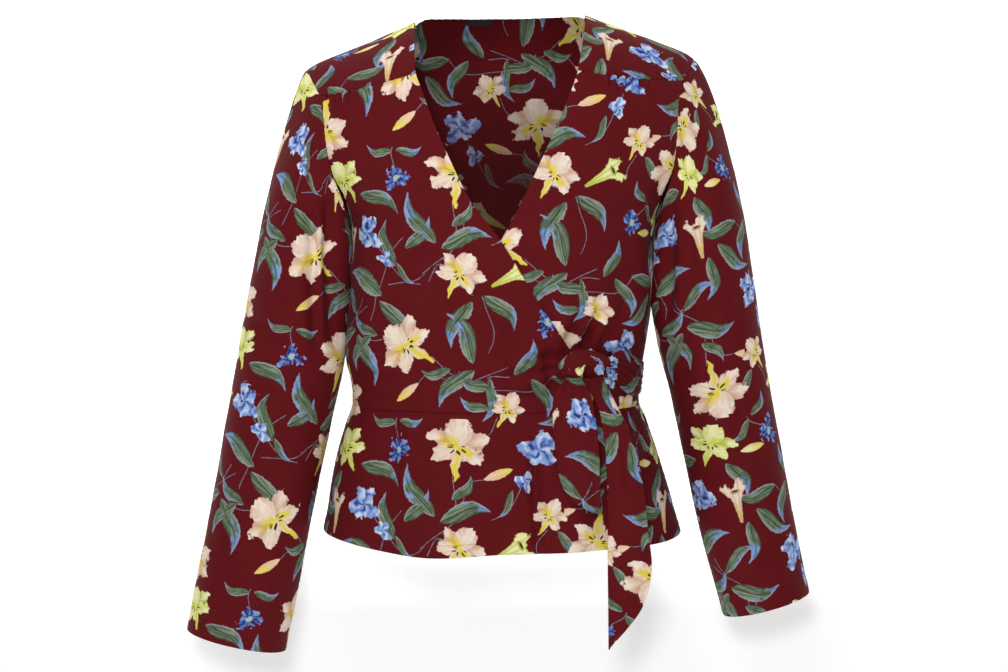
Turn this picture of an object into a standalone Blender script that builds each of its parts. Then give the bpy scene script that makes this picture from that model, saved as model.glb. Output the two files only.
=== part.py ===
"""A long-sleeved wrap top, filled out as if worn, hollow and open at neck, hem and cuffs.

Metres, +Z up. The front faces -Y and the wearer's left is +X. The origin is midway between
the two shoulder seams at the neck, where the wearer's shoulders hold the top up. Every
piece is a cloth wall: a thin slab in its own coordinates (across, up, through), laid on the
worn form that the functions below describe.
"""
import math
from collections import namedtuple

import bmesh
import bpy
import numpy as np
from mathutils import Vector

# ---------------------------------------------------------------- driving sizes
WALL = 0.0012                 # cloth wall
SEAM_GAP = 0.0004             # between two pieces that are sewn together
LAP_GAP = 0.0016              # between two layers that lie on each other
WAIST_Z = -0.413              # waist seam
HEM_Z = -0.555                # lower edge of the peplum, on average
ARMPIT_Z = {-1: -0.217, 1: -0.206}
SHOULDER_TIP_X = {-1: 0.2075, 1: 0.2085}
NECK_X = 0.0915               # shoulder seam at the neck
BACK_NECK_Z = 0.005           # neckline at the centre back
RIDGE_DEPTH = 0.090           # height over which the chest rounds up to the shoulder line
SECTION_POWER = 0.88          # 1 is an ellipse, less is squarer
YOKE_BACK_DROP = 0.0045       # the yoke's back seam below the shoulder line

RIGHT, LEFT = -1, 1           # the wearer's sides, as the sign of x
CLOTH_RED = (0.115, 0.011, 0.014)


class Table:
    """Rows of sizes with named columns, read between the rows on a smooth curve."""

    def __init__(self, columns, rows):
        self.names = columns.split()
        data = np.array(rows, dtype=float)
        self.key = data[:, 0]
        self.data = data
        steps = np.diff(self.key)[:, None]
        slopes = np.diff(data, axis=0) / steps
        self.tangents = np.vstack([slopes[:1], (slopes[1:] + slopes[:-1]) / 2, slopes[-1:]])

    def at(self, key, name):
        column = self.names.index(name)
        key = min(max(key, self.key[0]), self.key[-1])
        i = min(max(int(np.searchsorted(self.key, key)) - 1, 0), len(self.key) - 2)
        span = self.key[i + 1] - self.key[i]
        t = (key - self.key[i]) / span
        p0, p1 = self.data[i, column], self.data[i + 1, column]
        m0, m1 = self.tangents[i, column] * span, self.tangents[i + 1, column] * span
        return ((2 * t**3 - 3 * t**2 + 1) * p0 + (t**3 - 2 * t**2 + t) * m0
                + (3 * t**2 - 2 * t**3) * p1 + (t**3 - t**2) * m1)


# ---------------------------------------------------------------- the worn form
# Half widths to the wearer's right and left, and depths to the front and back, at each
# height. Above the armpits the widths are those of the form under the sleeve heads.
TORSO = Table("z right left front back", (
    (-0.570, 0.1955, 0.201, 0.134, 0.119),
    (-0.553, 0.1930, 0.1965, 0.133, 0.117),
    (-0.530, 0.1885, 0.1905, 0.130, 0.113),
    (-0.500, 0.184, 0.182, 0.123, 0.107),
    (-0.465, 0.1765, 0.171, 0.113, 0.099),
    (-0.435, 0.168, 0.1595, 0.103, 0.090),
    (-0.413, 0.1605, 0.1515, 0.098, 0.084),
    (-0.392, 0.1615, 0.1505, 0.099, 0.081),
    (-0.365, 0.167, 0.1545, 0.102, 0.080),
    (-0.335, 0.1665, 0.1595, 0.107, 0.082),
    (-0.305, 0.1635, 0.1632, 0.114, 0.087),
    (-0.270, 0.1605, 0.1650, 0.120, 0.093),
    (-0.240, 0.1592, 0.1660, 0.122, 0.098),
    (-0.217, 0.1592, 0.1662, 0.121, 0.101),
    (-0.206, 0.1640, 0.1668, 0.120, 0.102),
    (-0.190, 0.1740, 0.1770, 0.119, 0.104),
    (-0.160, 0.1940, 0.1960, 0.115, 0.106),
    (-0.130, 0.2060, 0.2070, 0.109, 0.107),
    (-0.090, 0.2130, 0.2140, 0.101, 0.104),
    (-0.040, 0.2180, 0.2190, 0.093, 0.098),
    (0.040, 0.2200, 0.2210, 0.088, 0.092)))

# Height of the shoulder line over each side. Inside the neck it only guides the neckline.
SHOULDER = Table("x right left", (
    (0.000, 0.034, 0.036),
    (0.045, 0.021, 0.025),
    (0.092, -0.002, 0.005),
    (0.135, -0.0215, -0.0105),
    (0.180, -0.0390, -0.0275),
    (0.200, -0.0480, -0.0360),
    (0.210, -0.0545, -0.0430),
    (0.230, -0.0715, -0.0600)))

# The armhole as an angle round the form, from the armpit (0) to the shoulder tip (1).
ARMHOLE = Table("rise degrees", (
    (0.000, 90.0), (0.065, 80.5), (0.160, 74.0), (0.340, 67.5),
    (0.530, 63.5), (0.800, 62.5), (0.920, 66.0), (1.000, 72.0)))

# Free edges of the two fronts, from the waist seam up to the yoke, as x at each height.
WRAP_EDGE = Table("z over under", (
    (-0.413, 0.118, -0.085),
    (-0.345, 0.073, -0.060),
    (-0.290, 0.037, -0.034),
    (-0.231, 0.001, 0.001),
    (-0.190, -0.030, 0.023),
    (-0.151, -0.050, 0.0415),
    (-0.112, -0.067, 0.0590),
    (-0.075, -0.080, 0.0735),
    (-0.054, -0.0875, 0.0805),
    (0.000, -0.0915, 0.0915)))

YOKE_FRONT = {                # the gathered seam at the front of each yoke: x, z at both ends
    RIGHT: {"neck": (-0.0880, -0.0580), "bow": 0.002, "arm_z": -0.0825},
    LEFT: {"neck": (0.0815, -0.0550), "bow": 0.003, "arm_z": -0.0650},
}

Fold = namedtuple("Fold", "x0 z0 x1 z1 width height")
FRONT_FOLDS = (               # troughs (negative) and ridges seen on the two fronts
    Fold(0.125, -0.268, 0.083, -0.338, 0.010, -0.0040),
    Fold(0.118, -0.300, 0.100, -0.345, 0.009, 0.0030),
    Fold(0.150, -0.235, 0.095, -0.262, 0.016, -0.0025),
    Fold(0.060, -0.372, -0.020, -0.385, 0.008, 0.0022),
    Fold(0.055, -0.392, -0.040, -0.402, 0.008, -0.0022),
    Fold(0.052, -0.352, 0.010, -0.335, 0.012, -0.0022),
    Fold(0.013, -0.320, 0.014, -0.370, 0.010, -0.0020),
    Fold(-0.150, -0.240, -0.095, -0.285, 0.015, -0.0025),
    Fold(-0.150, -0.380, -0.110, -0.360, 0.010, -0.0020),
    Fold(-0.165, -0.185, -0.135, -0.140, 0.012, -0.0020),
    Fold(0.165, -0.175, 0.140, -0.130, 0.012, -0.0020),
)
BACK_FOLDS = (
    Fold(-0.140, -0.230, -0.080, -0.290, 0.015, -0.0030),
    Fold(0.145, -0.225, 0.085, -0.285, 0.015, -0.0030),
    Fold(-0.060, -0.330, 0.050, -0.345, 0.014, 0.0030),
    Fold(-0.110, -0.375, -0.020, -0.372, 0.012, -0.0025),
    Fold(0.110, -0.372, 0.030, -0.380, 0.012, -0.0025),
)
Flute = namedtuple("Flute", "x width height")
PEPLUM_FRONT_FLUTES = (
    Flute(-0.125, 0.028, -0.006), Flute(-0.062, 0.030, 0.007), Flute(0.010, 0.030, -0.006),
    Flute(0.072, 0.026, 0.005), Flute(0.150, 0.022, -0.005))
PEPLUM_BACK_FLUTES = (
    Flute(-0.135, 0.026, 0.006), Flute(-0.080, 0.026, -0.007), Flute(-0.015, 0.028, 0.008),
    Flute(0.055, 0.028, -0.007), Flute(0.120, 0.028, 0.007))

# The hem's height round the form, from the right side over the front, the left and the back.
HEM = Table("degrees z", (
    (-90, -0.5475), (-62, -0.5520), (-25, -0.5610), (0, -0.5570), (30, -0.5550),
    (60, -0.5545), (90, -0.5515), (135, -0.5560), (180, -0.5575), (225, -0.5550),
    (270, -0.5475)))

GATHERS = {"count": 7, "height": 0.0011, "length": 0.022}
GATHER_SPAN = {RIGHT: (-0.186, -0.146), LEFT: (0.114, 0.152)}

# ---------------------------------------------------------------- sleeves
# Outer and inner edge of each ring in the front view, its forward place and half depth.
SLEEVES = {
    RIGHT: Table("step outer_x outer_z inner_x inner_z mid_y half_depth", (
        (0.0, -0.2590, -0.226, -0.1622, -0.245, 0.000, 0.056),
        (1.0, -0.2710, -0.286, -0.1652, -0.305, 0.001, 0.056),
        (2.0, -0.2830, -0.352, -0.1702, -0.364, 0.000, 0.055),
        (3.0, -0.2945, -0.415, -0.1815, -0.427, -0.004, 0.054),
        (4.0, -0.3060, -0.480, -0.1960, -0.494, -0.009, 0.051),
        (5.0, -0.3175, -0.543, -0.2090, -0.559, -0.013, 0.049),
        (6.0, -0.3315, -0.610, -0.2220, -0.627, -0.016, 0.047),
        (6.7, -0.3400, -0.657, -0.2335, -0.681, -0.017, 0.046))),
    LEFT: Table("step outer_x outer_z inner_x inner_z mid_y half_depth", (
        (0.0, 0.2645, -0.218, 0.1690, -0.237, 0.000, 0.055),
        (1.0, 0.2740, -0.275, 0.1668, -0.294, 0.001, 0.055),
        (2.0, 0.2835, -0.338, 0.1712, -0.349, 0.000, 0.054),
        (3.0, 0.2935, -0.400, 0.1870, -0.411, -0.004, 0.053),
        (4.0, 0.3050, -0.463, 0.2010, -0.477, -0.009, 0.051),
        (5.0, 0.3165, -0.524, 0.2145, -0.540, -0.013, 0.049),
        (6.0, 0.3285, -0.583, 0.2305, -0.599, -0.016, 0.047),
        (6.6, 0.3355, -0.616, 0.2430, -0.642, -0.017, 0.046))),
}
CAP_LEAD = {RIGHT: 0.014, LEFT: 0.025}   # how far a sleeve runs on in the shoulder's line
CAP_SPREAD = 1.4              # above 1, the sleeve head fans out from the armhole
SLEEVE_FOLDS = {
    RIGHT: (Fold(-0.242, -0.345, -0.192, -0.400, 0.014, -0.0045),
            Fold(-0.262, -0.392, -0.225, -0.432, 0.013, 0.0030),
            Fold(-0.250, -0.120, -0.215, -0.190, 0.014, -0.0025),
            Fold(-0.285, -0.520, -0.265, -0.600, 0.014, -0.0020)),
    LEFT: (Fold(0.228, -0.325, 0.262, -0.430, 0.014, -0.0035),
           Fold(0.205, -0.335, 0.225, -0.420, 0.012, 0.0030),
           Fold(0.245, -0.120, 0.215, -0.190, 0.014, -0.0025),
           Fold(0.270, -0.500, 0.262, -0.590, 0.014, -0.0020)),
}

# ---------------------------------------------------------------- tie and sash
KNOT = {"x": 0.0880, "z": -0.3620, "half_width": 0.0220, "half_height": 0.0165, "lift": 0.0140,
        "clear": 0.0016}
LONG_END = Table("down left right y", (   # x of both edges and how far forward, going down
    (0.000, 0.0850, 0.1080, -0.1130),
    (0.030, 0.1020, 0.1225, -0.1085),
    (0.060, 0.1080, 0.1370, -0.1120),
    (0.110, 0.1115, 0.1490, -0.1190),
    (0.160, 0.1122, 0.1545, -0.1235),
    (0.200, 0.1124, 0.1580, -0.1245),
    (0.240, 0.1130, 0.1480, -0.1235),
    (0.262, 0.1132, 0.1330, -0.1225),
    (0.283, 0.1134, 0.1150, -0.1220)))
LONG_END_TOP_Z = -0.3745
SHORT_END = Table("down left right y", (
    (0.000, 0.0690, 0.0835, -0.1165),
    (0.015, 0.0580, 0.0860, -0.1145),
    (0.045, 0.0550, 0.0930, -0.1140),
    (0.080, 0.0590, 0.1010, -0.1190),
    (0.110, 0.0640, 0.1035, -0.1235),
    (0.128, 0.0760, 0.1045, -0.1255),
    (0.140, 0.0970, 0.1050, -0.1262)))
SHORT_END_TOP_Z = -0.3735
SASH_GATHERS = 4.5            # waves across the sash where it is gathered into the side seam
SASH_GATHER_HEIGHT = 0.0012
SASH_CROWN = 0.0025           # how much its middle stands above its edges
# z of the sash's edges and its distance from the body, from the knot to the side seam.
SASH = Table("x low high lift", (
    (0.1095, -0.3740, -0.3520, 0.0150),
    (0.1180, -0.3830, -0.3480, 0.0110),
    (0.1280, -0.3930, -0.3490, 0.0080),
    (0.1400, -0.4010, -0.3560, 0.0060),
    (0.1530, -0.4020, -0.3640, 0.0042)))


# ---------------------------------------------------------------- form functions
def half_width(side, z):
    return TORSO.at(z, "right" if side < 0 else "left")


def shoulder_z(x):
    return SHOULDER.at(abs(x), "right" if x < 0 else "left")


def torso(angle, z):
    """A point of the worn form: angle 0 at the centre front, 90 degrees at the left side."""
    side = -1 if math.sin(angle) < 0 else 1
    x = half_width(side, z) * math.sin(angle)
    depth = TORSO.at(z, "front") if math.cos(angle) >= 0 else -TORSO.at(z, "back")
    below = min(max(1 - (shoulder_z(x) - z) / RIDGE_DEPTH, 0.0), 1.0)
    round_up = math.sqrt(1 - below * below)
    return Vector((x, -depth * abs(math.cos(angle)) ** SECTION_POWER * round_up, z))


def over_shoulder(x, turn):
    """The same form near the shoulder line: turn is positive in front and negative behind."""
    z = shoulder_z(x) - RIDGE_DEPTH * (1 - math.cos(turn))
    angle = math.asin(max(-1.0, min(1.0, x / half_width(-1 if x < 0 else 1, z))))
    return torso(angle if turn >= 0 else math.pi - angle, z)


def angle_at(x, z):
    return math.asin(max(-1.0, min(1.0, x / half_width(-1 if x < 0 else 1, z))))


def turn_at(x, z):
    return math.acos(1 - (shoulder_z(x) - z) / RIDGE_DEPTH)


def tip_z(side):
    return shoulder_z(side * SHOULDER_TIP_X[side])


def armhole_angle(side, z):
    rise = (z - ARMPIT_Z[side]) / (tip_z(side) - ARMPIT_Z[side])
    return side * math.radians(ARMHOLE.at(rise, "degrees"))


def arm_point(side, z):
    """x and z of the armhole at this height."""
    return half_width(side, z) * math.sin(armhole_angle(side, z)), z


def normal_of(surface, p, q, step=0.0015):
    """Outward normal of surface(p, q) by central differences."""
    along = surface(p + step, q) - surface(p - step, q)
    up = surface(p, q + step) - surface(p, q - step)
    return along.cross(up).normalized()


def smoothstep(t):
    t = min(max(t, 0.0), 1.0)
    return t * t * (3 - 2 * t)


def fold_height(folds, x, z):
    """Height of all folds at a place in the front view: soft, and fading at both ends."""
    total = 0.0
    for fold in folds:
        dx, dz = fold.x1 - fold.x0, fold.z1 - fold.z0
        length = math.hypot(dx, dz)
        along = ((x - fold.x0) * dx + (z - fold.z0) * dz) / length
        off = ((x - fold.x0) * dz - (z - fold.z0) * dx) / length
        beyond = max(0.0, -along, along - length)
        total += fold.height * math.exp(-(off / fold.width) ** 2 - (beyond / (fold.width * 1.6)) ** 2)
    return total


def flute_height(flutes, x, z):
    grow = smoothstep((WAIST_Z - z) / (WAIST_Z - HEM_Z)) * 0.9
    return grow * sum(f.height * math.exp(-((x - f.x) / f.width) ** 2) for f in flutes)


def gather_height(side, x, z):
    """Short soft gathers just below the yoke seam."""
    start, end = GATHER_SPAN[side]
    if not start < x < end:
        return 0.0
    across = (x - start) / (end - start)
    down = (yoke_seam_z(side, x) - z) / GATHERS["length"]
    fade = (1 - smoothstep(down)) * math.sin(math.pi * across) ** 0.5
    return GATHERS["height"] * fade * math.sin(2 * math.pi * GATHERS["count"] * across)


# ---------------------------------------------------------------- seam lines
def yoke_front_seam(side, s):
    """x and z on the yoke's front seam, from the armhole (0) to the neck edge (1)."""
    seam = YOKE_FRONT[side]
    arm_x, arm_z = arm_point(side, seam["arm_z"])
    neck_x, neck_z = seam["neck"]
    x = arm_x + (neck_x - arm_x) * s
    z = arm_z + (neck_z - arm_z) * s - seam["bow"] * math.sin(math.pi * s)
    return x, z


def yoke_seam_z(side, x):
    seam = YOKE_FRONT[side]
    arm_x = arm_point(side, seam["arm_z"])[0]
    return yoke_front_seam(side, (x - arm_x) / (seam["neck"][0] - arm_x))[1]


def back_seam_x(side):
    """x where the yoke's back seam meets the armhole."""
    return arm_point(side, tip_z(side) - YOKE_BACK_DROP)[0]


def neck_x(side, turn):
    """x of the yoke's neck edge, from the front seam over the shoulder line to the back."""
    front_x, front_z = YOKE_FRONT[side]["neck"]
    front_turn = turn_at(front_x, front_z)
    return side * NECK_X + (front_x - side * NECK_X) * (max(turn, 0.0) / front_turn) ** 2


def arm_x_over_shoulder(side, turn):
    """x of the yoke's armhole edge."""
    front_x, front_z = yoke_front_seam(side, 0.0)
    tip = side * SHOULDER_TIP_X[side]
    if turn >= 0:
        return tip + (front_x - tip) * (turn / turn_at(front_x, front_z)) ** 2
    back_x = back_seam_x(side)
    back_turn = turn_at(back_x, tip_z(side) - YOKE_BACK_DROP)
    return tip + (back_x - tip) * (turn / back_turn) ** 2


def back_top(s):
    """x and z along the top of the back: yoke seam, neckline, yoke seam."""
    ends = {RIGHT: back_seam_x(RIGHT), LEFT: back_seam_x(LEFT)}
    x = ends[RIGHT] + (ends[LEFT] - ends[RIGHT]) * s
    side = RIGHT if x < 0 else LEFT
    if abs(x) >= NECK_X:
        reach = (abs(x) - NECK_X) / (abs(ends[side]) - NECK_X)
        drop = YOKE_BACK_DROP
        arm_z = tip_z(side) - YOKE_BACK_DROP
        exact = shoulder_z(x) - drop
        end_error = arm_z - (shoulder_z(ends[side]) - drop)
        return x, exact + end_error * reach
    neck_z = shoulder_z(side * NECK_X) - YOKE_BACK_DROP
    rise = math.cos(math.pi / 2 * x / NECK_X) ** 0.8
    return x, neck_z + (BACK_NECK_Z - neck_z) * rise


def back_turn_at(x):
    ends = {RIGHT: back_seam_x(RIGHT), LEFT: back_seam_x(LEFT)}
    s = (x - ends[RIGHT]) / (ends[LEFT] - ends[RIGHT])
    return turn_at(x, back_top(s)[1])


# ---------------------------------------------------------------- walls
def coons(bottom, top, left, right):
    """Fill a four-sided outline: every argument runs 0 to 1 and gives a pair of values."""
    corners = [np.array(c) for c in (bottom(0), bottom(1), top(0), top(1))]

    def fill(s, r):
        edge = ((1 - r) * np.array(bottom(s)) + r * np.array(top(s))
                + (1 - s) * np.array(left(r)) + s * np.array(right(r)))
        corner = ((1 - s) * (1 - r) * corners[0] + s * (1 - r) * corners[1]
                  + (1 - s) * r * corners[2] + s * r * corners[3])
        return edge - corner
    return fill


def parts_collection():
    collection = bpy.data.collections.get("wrap_top")
    if collection is None:
        collection = bpy.data.collections.new("wrap_top")
        bpy.context.scene.collection.children.link(collection)
    return collection


def cloth_material(name, shade):
    material = bpy.data.materials.new(name)
    material.use_nodes = True
    surface = material.node_tree.nodes["Principled BSDF"]
    surface.inputs["Base Color"].default_value = (*[c * shade for c in CLOTH_RED], 1)
    surface.inputs["Roughness"].default_value = 0.72
    surface.inputs["Metallic"].default_value = 0.0
    material.diffuse_color = (*[c * shade for c in CLOTH_RED], 1)
    return material


def flat_slab(columns, rows, fine=None):
    """A slab one unit deep whose grid lines stand at the given columns and rows.

    fine = (first column, last column, first row, cuts) splits the columns of a few top
    rows more closely, for gathers."""
    bm = bmesh.new()
    bmesh.ops.create_grid(bm, x_segments=len(columns) - 1, y_segments=len(rows) - 1, size=0.5)
    for vert in bm.verts:
        i = round((vert.co.x + 0.5) * (len(columns) - 1))
        j = round((vert.co.y + 0.5) * (len(rows) - 1))
        vert.co = (columns[i], rows[j], 0.0)
    if fine:
        first, last, row, cuts = fine
        low, high, start = columns[first], columns[last], rows[row]
        tiny = 1e-6
        chosen = [e for e in bm.edges
                  if abs(e.verts[0].co.y - e.verts[1].co.y) < tiny
                  and min(v.co.y for v in e.verts) > start - tiny
                  and low - tiny < min(v.co.x for v in e.verts)
                  and max(v.co.x for v in e.verts) < high + tiny]
        bmesh.ops.subdivide_edges(bm, edges=chosen, cuts=cuts, use_grid_fill=True)
        bmesh.ops.triangulate(bm, faces=[f for f in bm.faces if len(f.verts) > 4])
    made = bmesh.ops.extrude_face_region(bm, geom=bm.faces[:])
    copied = [g for g in made["geom"] if isinstance(g, bmesh.types.BMVert)]
    bmesh.ops.translate(bm, verts=copied, vec=(0, 0, 1))
    return bm


def finish_piece(name, bm, shade):
    bmesh.ops.recalc_face_normals(bm, faces=bm.faces[:])
    if bm.calc_volume(signed=True) < 0:
        bmesh.ops.reverse_faces(bm, faces=bm.faces[:])
    mesh = bpy.data.meshes.new(name)
    bm.to_mesh(mesh)
    bm.free()
    mesh.shade_smooth()
    mesh.set_sharp_from_angle(angle=math.radians(50))
    piece = bpy.data.objects.new(name, mesh)
    piece.data.materials.append(cloth_material(name + "_cloth", shade))
    parts_collection().objects.link(piece)
    return piece


def lay(name, columns, rows, fill, surface, height, shade=1.0, fine=None, outward=1,
        free=()):
    """Lay a slab on surface(p, q), with (p, q) = fill(s, r), and give it its thickness.

    Each edge draws back by half a seam's gap, except those named in free."""
    bm = flat_slab(columns, rows, fine)
    nudge = 1e-3
    edges = (("left", 0, 0.0, nudge), ("right", 0, 1.0, -nudge),
             ("bottom", 1, 0.0, nudge), ("top", 1, 1.0, -nudge))

    def at(s, r):
        return surface(*fill(s, r))

    for vert in bm.verts:
        s, r, inside = vert.co
        p, q = fill(s, r)
        point = surface(p, q)
        normal = normal_of(surface, p, q) * outward
        place = point + normal * (height(point) - WALL * inside)
        for edge, axis, value, inward in edges:
            if edge in free or abs((s, r)[axis] - value) > 1e-7:
                continue
            near = at(s + inward, r) if axis == 0 else at(s, r + inward)
            place += (near - point).normalized() * SEAM_GAP / 2
        vert.co = place
    return finish_piece(name, bm, shade)


def spread(start, end, count):
    return list(np.linspace(start, end, count + 1))


# ---------------------------------------------------------------- bodice
SIDE_ROWS = 11                # from the waist seam to the armpit
ARM_FRACTIONS = (0.0, 0.035, 0.085, 0.16, 0.26, 0.38, 0.52, 0.66, 0.80, 0.91, 1.0)


def arm_heights(side, top_z):
    """Heights of the grid rows on the armhole, closer where it turns under the arm."""
    low = ARMPIT_Z[side]
    return [low + (top_z - low) * f for f in ARM_FRACTIONS]


def side_edge(side, rows_z, behind=False):
    """Side seam and then armhole, as an angle and a height, at the rows' fractions."""
    start, end = rows_z[0], rows_z[-1]

    def edge(r):
        z = start + (end - start) * r
        angle = armhole_angle(side, z) if z > ARMPIT_Z[side] else side * math.pi / 2
        return (side * math.pi - angle if behind else angle), z
    return edge


def row_heights(side, top_z):
    return spread(WAIST_Z, ARMPIT_Z[side], SIDE_ROWS)[:-1] + arm_heights(side, top_z)


def fractions(values):
    return [(v - values[0]) / (values[-1] - values[0]) for v in values]


def front_piece(name, side, edge_name, height, columns, shade):
    """One front: from its side seam and armhole to its free edge."""
    rows_z = row_heights(side, YOKE_FRONT[side]["arm_z"])
    neck_x_here, neck_z = YOKE_FRONT[side]["neck"]
    reach = WRAP_EDGE.at(neck_z, edge_name)

    def free_edge(r):
        z = WAIST_Z + (neck_z - WAIST_Z) * r
        x = WRAP_EDGE.at(z, edge_name) + (neck_x_here - reach) * smoothstep(r * 4 - 3)
        return angle_at(x, z), z

    def bottom(s):
        start, end = side * math.pi / 2, free_edge(0)[0]
        return start + (end - start) * s, WAIST_Z

    def top(s):
        x, z = yoke_front_seam(side, s)
        return angle_at(x, z), z

    fill = coons(bottom, top, side_edge(side, rows_z), free_edge)
    span = [((x - yoke_front_seam(side, 0)[0]) / (neck_x_here - yoke_front_seam(side, 0)[0]))
            for x in GATHER_SPAN[side]]
    count = len(columns) - 1
    first = max(0, math.floor(min(span) * count))
    last = min(count, math.ceil(max(span) * count))
    fine = (first, last, len(rows_z) - 3, 3)
    return lay(name, columns, fractions(rows_z), fill, torso, height, shade, fine,
               free=("right",))


LAP_CLEAR = 0.004             # the under layer stays low this far past the over layer's edge
LAP_RISE = 0.030              # and comes back up to the form over this width


def lap_drop(clear):
    """How far an under layer lies below the form, clear metres past the edge over it."""
    return (WALL + LAP_GAP) * (1 - smoothstep((clear - LAP_CLEAR) / LAP_RISE))


def under_drop(point):
    """How far the under front lies below the over front's surface."""
    return lap_drop(point.x - WRAP_EDGE.at(point.z, "over"))


def over_height(point):
    return (fold_height(FRONT_FOLDS, point.x, point.z)
            + gather_height(RIGHT, point.x, point.z))


def under_height(point):
    return (fold_height(FRONT_FOLDS, point.x, point.z)
            + gather_height(LEFT, point.x, point.z) - under_drop(point))


YOKE_COLUMNS = 6
NECK_COLUMNS = 10


def make_back():
    """The back bodice, from one side seam and armhole to the other."""
    top_z = {side: tip_z(side) - YOKE_BACK_DROP for side in (RIGHT, LEFT)}
    rows_z = row_heights(RIGHT, top_z[RIGHT])
    row_s = fractions(rows_z)
    left_rows = row_heights(LEFT, top_z[LEFT])

    def left_z(r):
        return float(np.interp(r, row_s, left_rows))

    def left_edge(r):
        z = left_z(r)
        angle = armhole_angle(LEFT, z) if z > ARMPIT_Z[LEFT] else math.pi / 2
        return math.pi - angle, z

    def right_edge(r):
        angle, z = side_edge(RIGHT, rows_z, behind=True)(r)
        return angle if angle > 0 else angle + 2 * math.pi, z

    def bottom(s):
        return 1.5 * math.pi - math.pi * s, WAIST_Z

    def top(s):
        x, z = back_top(s)
        return math.pi - angle_at(x, z), z

    fill = coons(bottom, top, right_edge, left_edge)
    ends = back_seam_x(RIGHT), back_seam_x(LEFT)
    across = (spread(ends[0], -NECK_X, YOKE_COLUMNS)[:-1]
              + spread(-NECK_X, NECK_X, NECK_COLUMNS)[:-1]
              + spread(NECK_X, ends[1], YOKE_COLUMNS))

    def height(point):
        return fold_height(BACK_FOLDS, point.x, point.z)

    return lay("bodice_back", fractions(across), row_s, fill, torso, height, 0.8)


def make_yoke(side, name, shade):
    """A forward shoulder yoke, from its gathered front seam over the shoulder line."""
    front_arm = yoke_front_seam(side, 0)
    back_x = back_seam_x(side)
    front_turn = turn_at(*front_arm)
    back_turn = -turn_at(back_x, tip_z(side) - YOKE_BACK_DROP)
    rows = fractions([front_turn * f for f in (1.0, 0.75, 0.5, 0.25, 0.0)] + [back_turn])

    def bottom(s):
        x, z = yoke_front_seam(side, s)
        return x, turn_at(x, z)

    def top(s):
        x = back_x + (side * NECK_X - back_x) * s
        return x, -back_turn_at(x)

    def arm_edge(r):
        turn = front_turn + (back_turn - front_turn) * r
        return arm_x_over_shoulder(side, turn), turn

    def neck_edge(r):
        start, end = bottom(1)[1], top(1)[1]
        turn = start + (end - start) * r
        return neck_x(side, turn), turn

    fill = coons(bottom, top, arm_edge, neck_edge)
    columns = spread(0, 1, YOKE_COLUMNS)
    return lay(name, columns, rows, fill, over_shoulder, lambda point: 0.0, shade,
               outward=-1, free=("right",))


# ---------------------------------------------------------------- peplum
PEPLUM_OVER_X = {"waist": 0.118, "hem": 0.136}       # free edge under the long tie end
PEPLUM_UNDER_X = {"waist": -0.085, "hem": -0.105}
PEPLUM_ROWS = 8


def peplum_edge(edge, r):
    """Angle of a peplum front's free edge, from the hem (0) to the waist (1)."""
    hem, waist = angle_at(edge["hem"], HEM_Z), angle_at(edge["waist"], WAIST_Z)
    return hem + (waist - hem) * r


def peplum(name, start, end, columns, height, shade, free):
    """A flared piece below the waist seam. start and end give its side edges as angles."""
    def fill(s, r):
        angle = start(r) + (end(r) - start(r)) * s
        hem_z = HEM.at(math.degrees(angle), "z")
        return angle, hem_z + (WAIST_Z - hem_z) * r

    lay(name, spread(0, 1, columns), spread(0, 1, PEPLUM_ROWS), fill, torso, height, shade,
        free=free)


def peplum_over_height(point):
    return flute_height(PEPLUM_FRONT_FLUTES, point.x, point.z)


def peplum_under_height(point):
    r = (point.z - HEM_Z) / (WAIST_Z - HEM_Z)
    edge_x = half_width(LEFT, point.z) * math.sin(peplum_edge(PEPLUM_OVER_X, r))
    return flute_height(PEPLUM_FRONT_FLUTES, point.x, point.z) - lap_drop(point.x - edge_x)


def peplum_back_height(point):
    return flute_height(PEPLUM_BACK_FLUTES, point.x, point.z)


def make_peplums():
    right_side, left_side = -math.pi / 2, math.pi / 2
    peplum("peplum_front_over", lambda r: right_side, lambda r: peplum_edge(PEPLUM_OVER_X, r),
           22, peplum_over_height, 0.95, ("right", "bottom"))
    peplum("peplum_front_under", lambda r: left_side, lambda r: peplum_edge(PEPLUM_UNDER_X, r),
           18, peplum_under_height, 0.85, ("right", "bottom"))
    peplum("peplum_back", lambda r: right_side + 2 * math.pi, lambda r: left_side,
           24, peplum_back_height, 0.8, ("bottom",))


# ---------------------------------------------------------------- sleeves
def armhole_loop(side):
    """Armhole points, normals and outward tangents, from the shoulder tip round the front."""
    front_z = arm_heights(side, YOKE_FRONT[side]["arm_z"])[::-1]
    back_z = arm_heights(side, tip_z(side) - YOKE_BACK_DROP)
    front_arm = yoke_front_seam(side, 0)
    front_turn = turn_at(*front_arm)
    over = [front_turn * f for f in (0.0, 0.25, 0.5, 0.75)]
    samples = [("over", arm_x_over_shoulder(side, t), t) for t in over]
    samples += [("torso", armhole_angle(side, z), z) for z in front_z]
    samples += [("torso", side * math.pi - armhole_angle(side, z), z) for z in back_z[1:]]
    points, normals = [], []
    for kind, p, q in samples:
        surface = over_shoulder if kind == "over" else torso
        points.append(surface(p, q))
        normal = normal_of(surface, p, q)
        middle = Vector((0, 0, points[-1].z - 0.10))
        points_out = normal.dot(points[-1] - middle) > 0
        normals.append(normal if points_out else -normal)
    count = len(points)
    ways = []
    for i in range(count):
        tangent = (points[(i + 1) % count] - points[i - 1]).normalized()
        way = tangent.cross(normals[i]).normalized()
        ways.append(way)
    top_way = ways[0]
    if top_way.x * side < 0:
        ways = [-w for w in ways]
    return points, normals, ways


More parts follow.
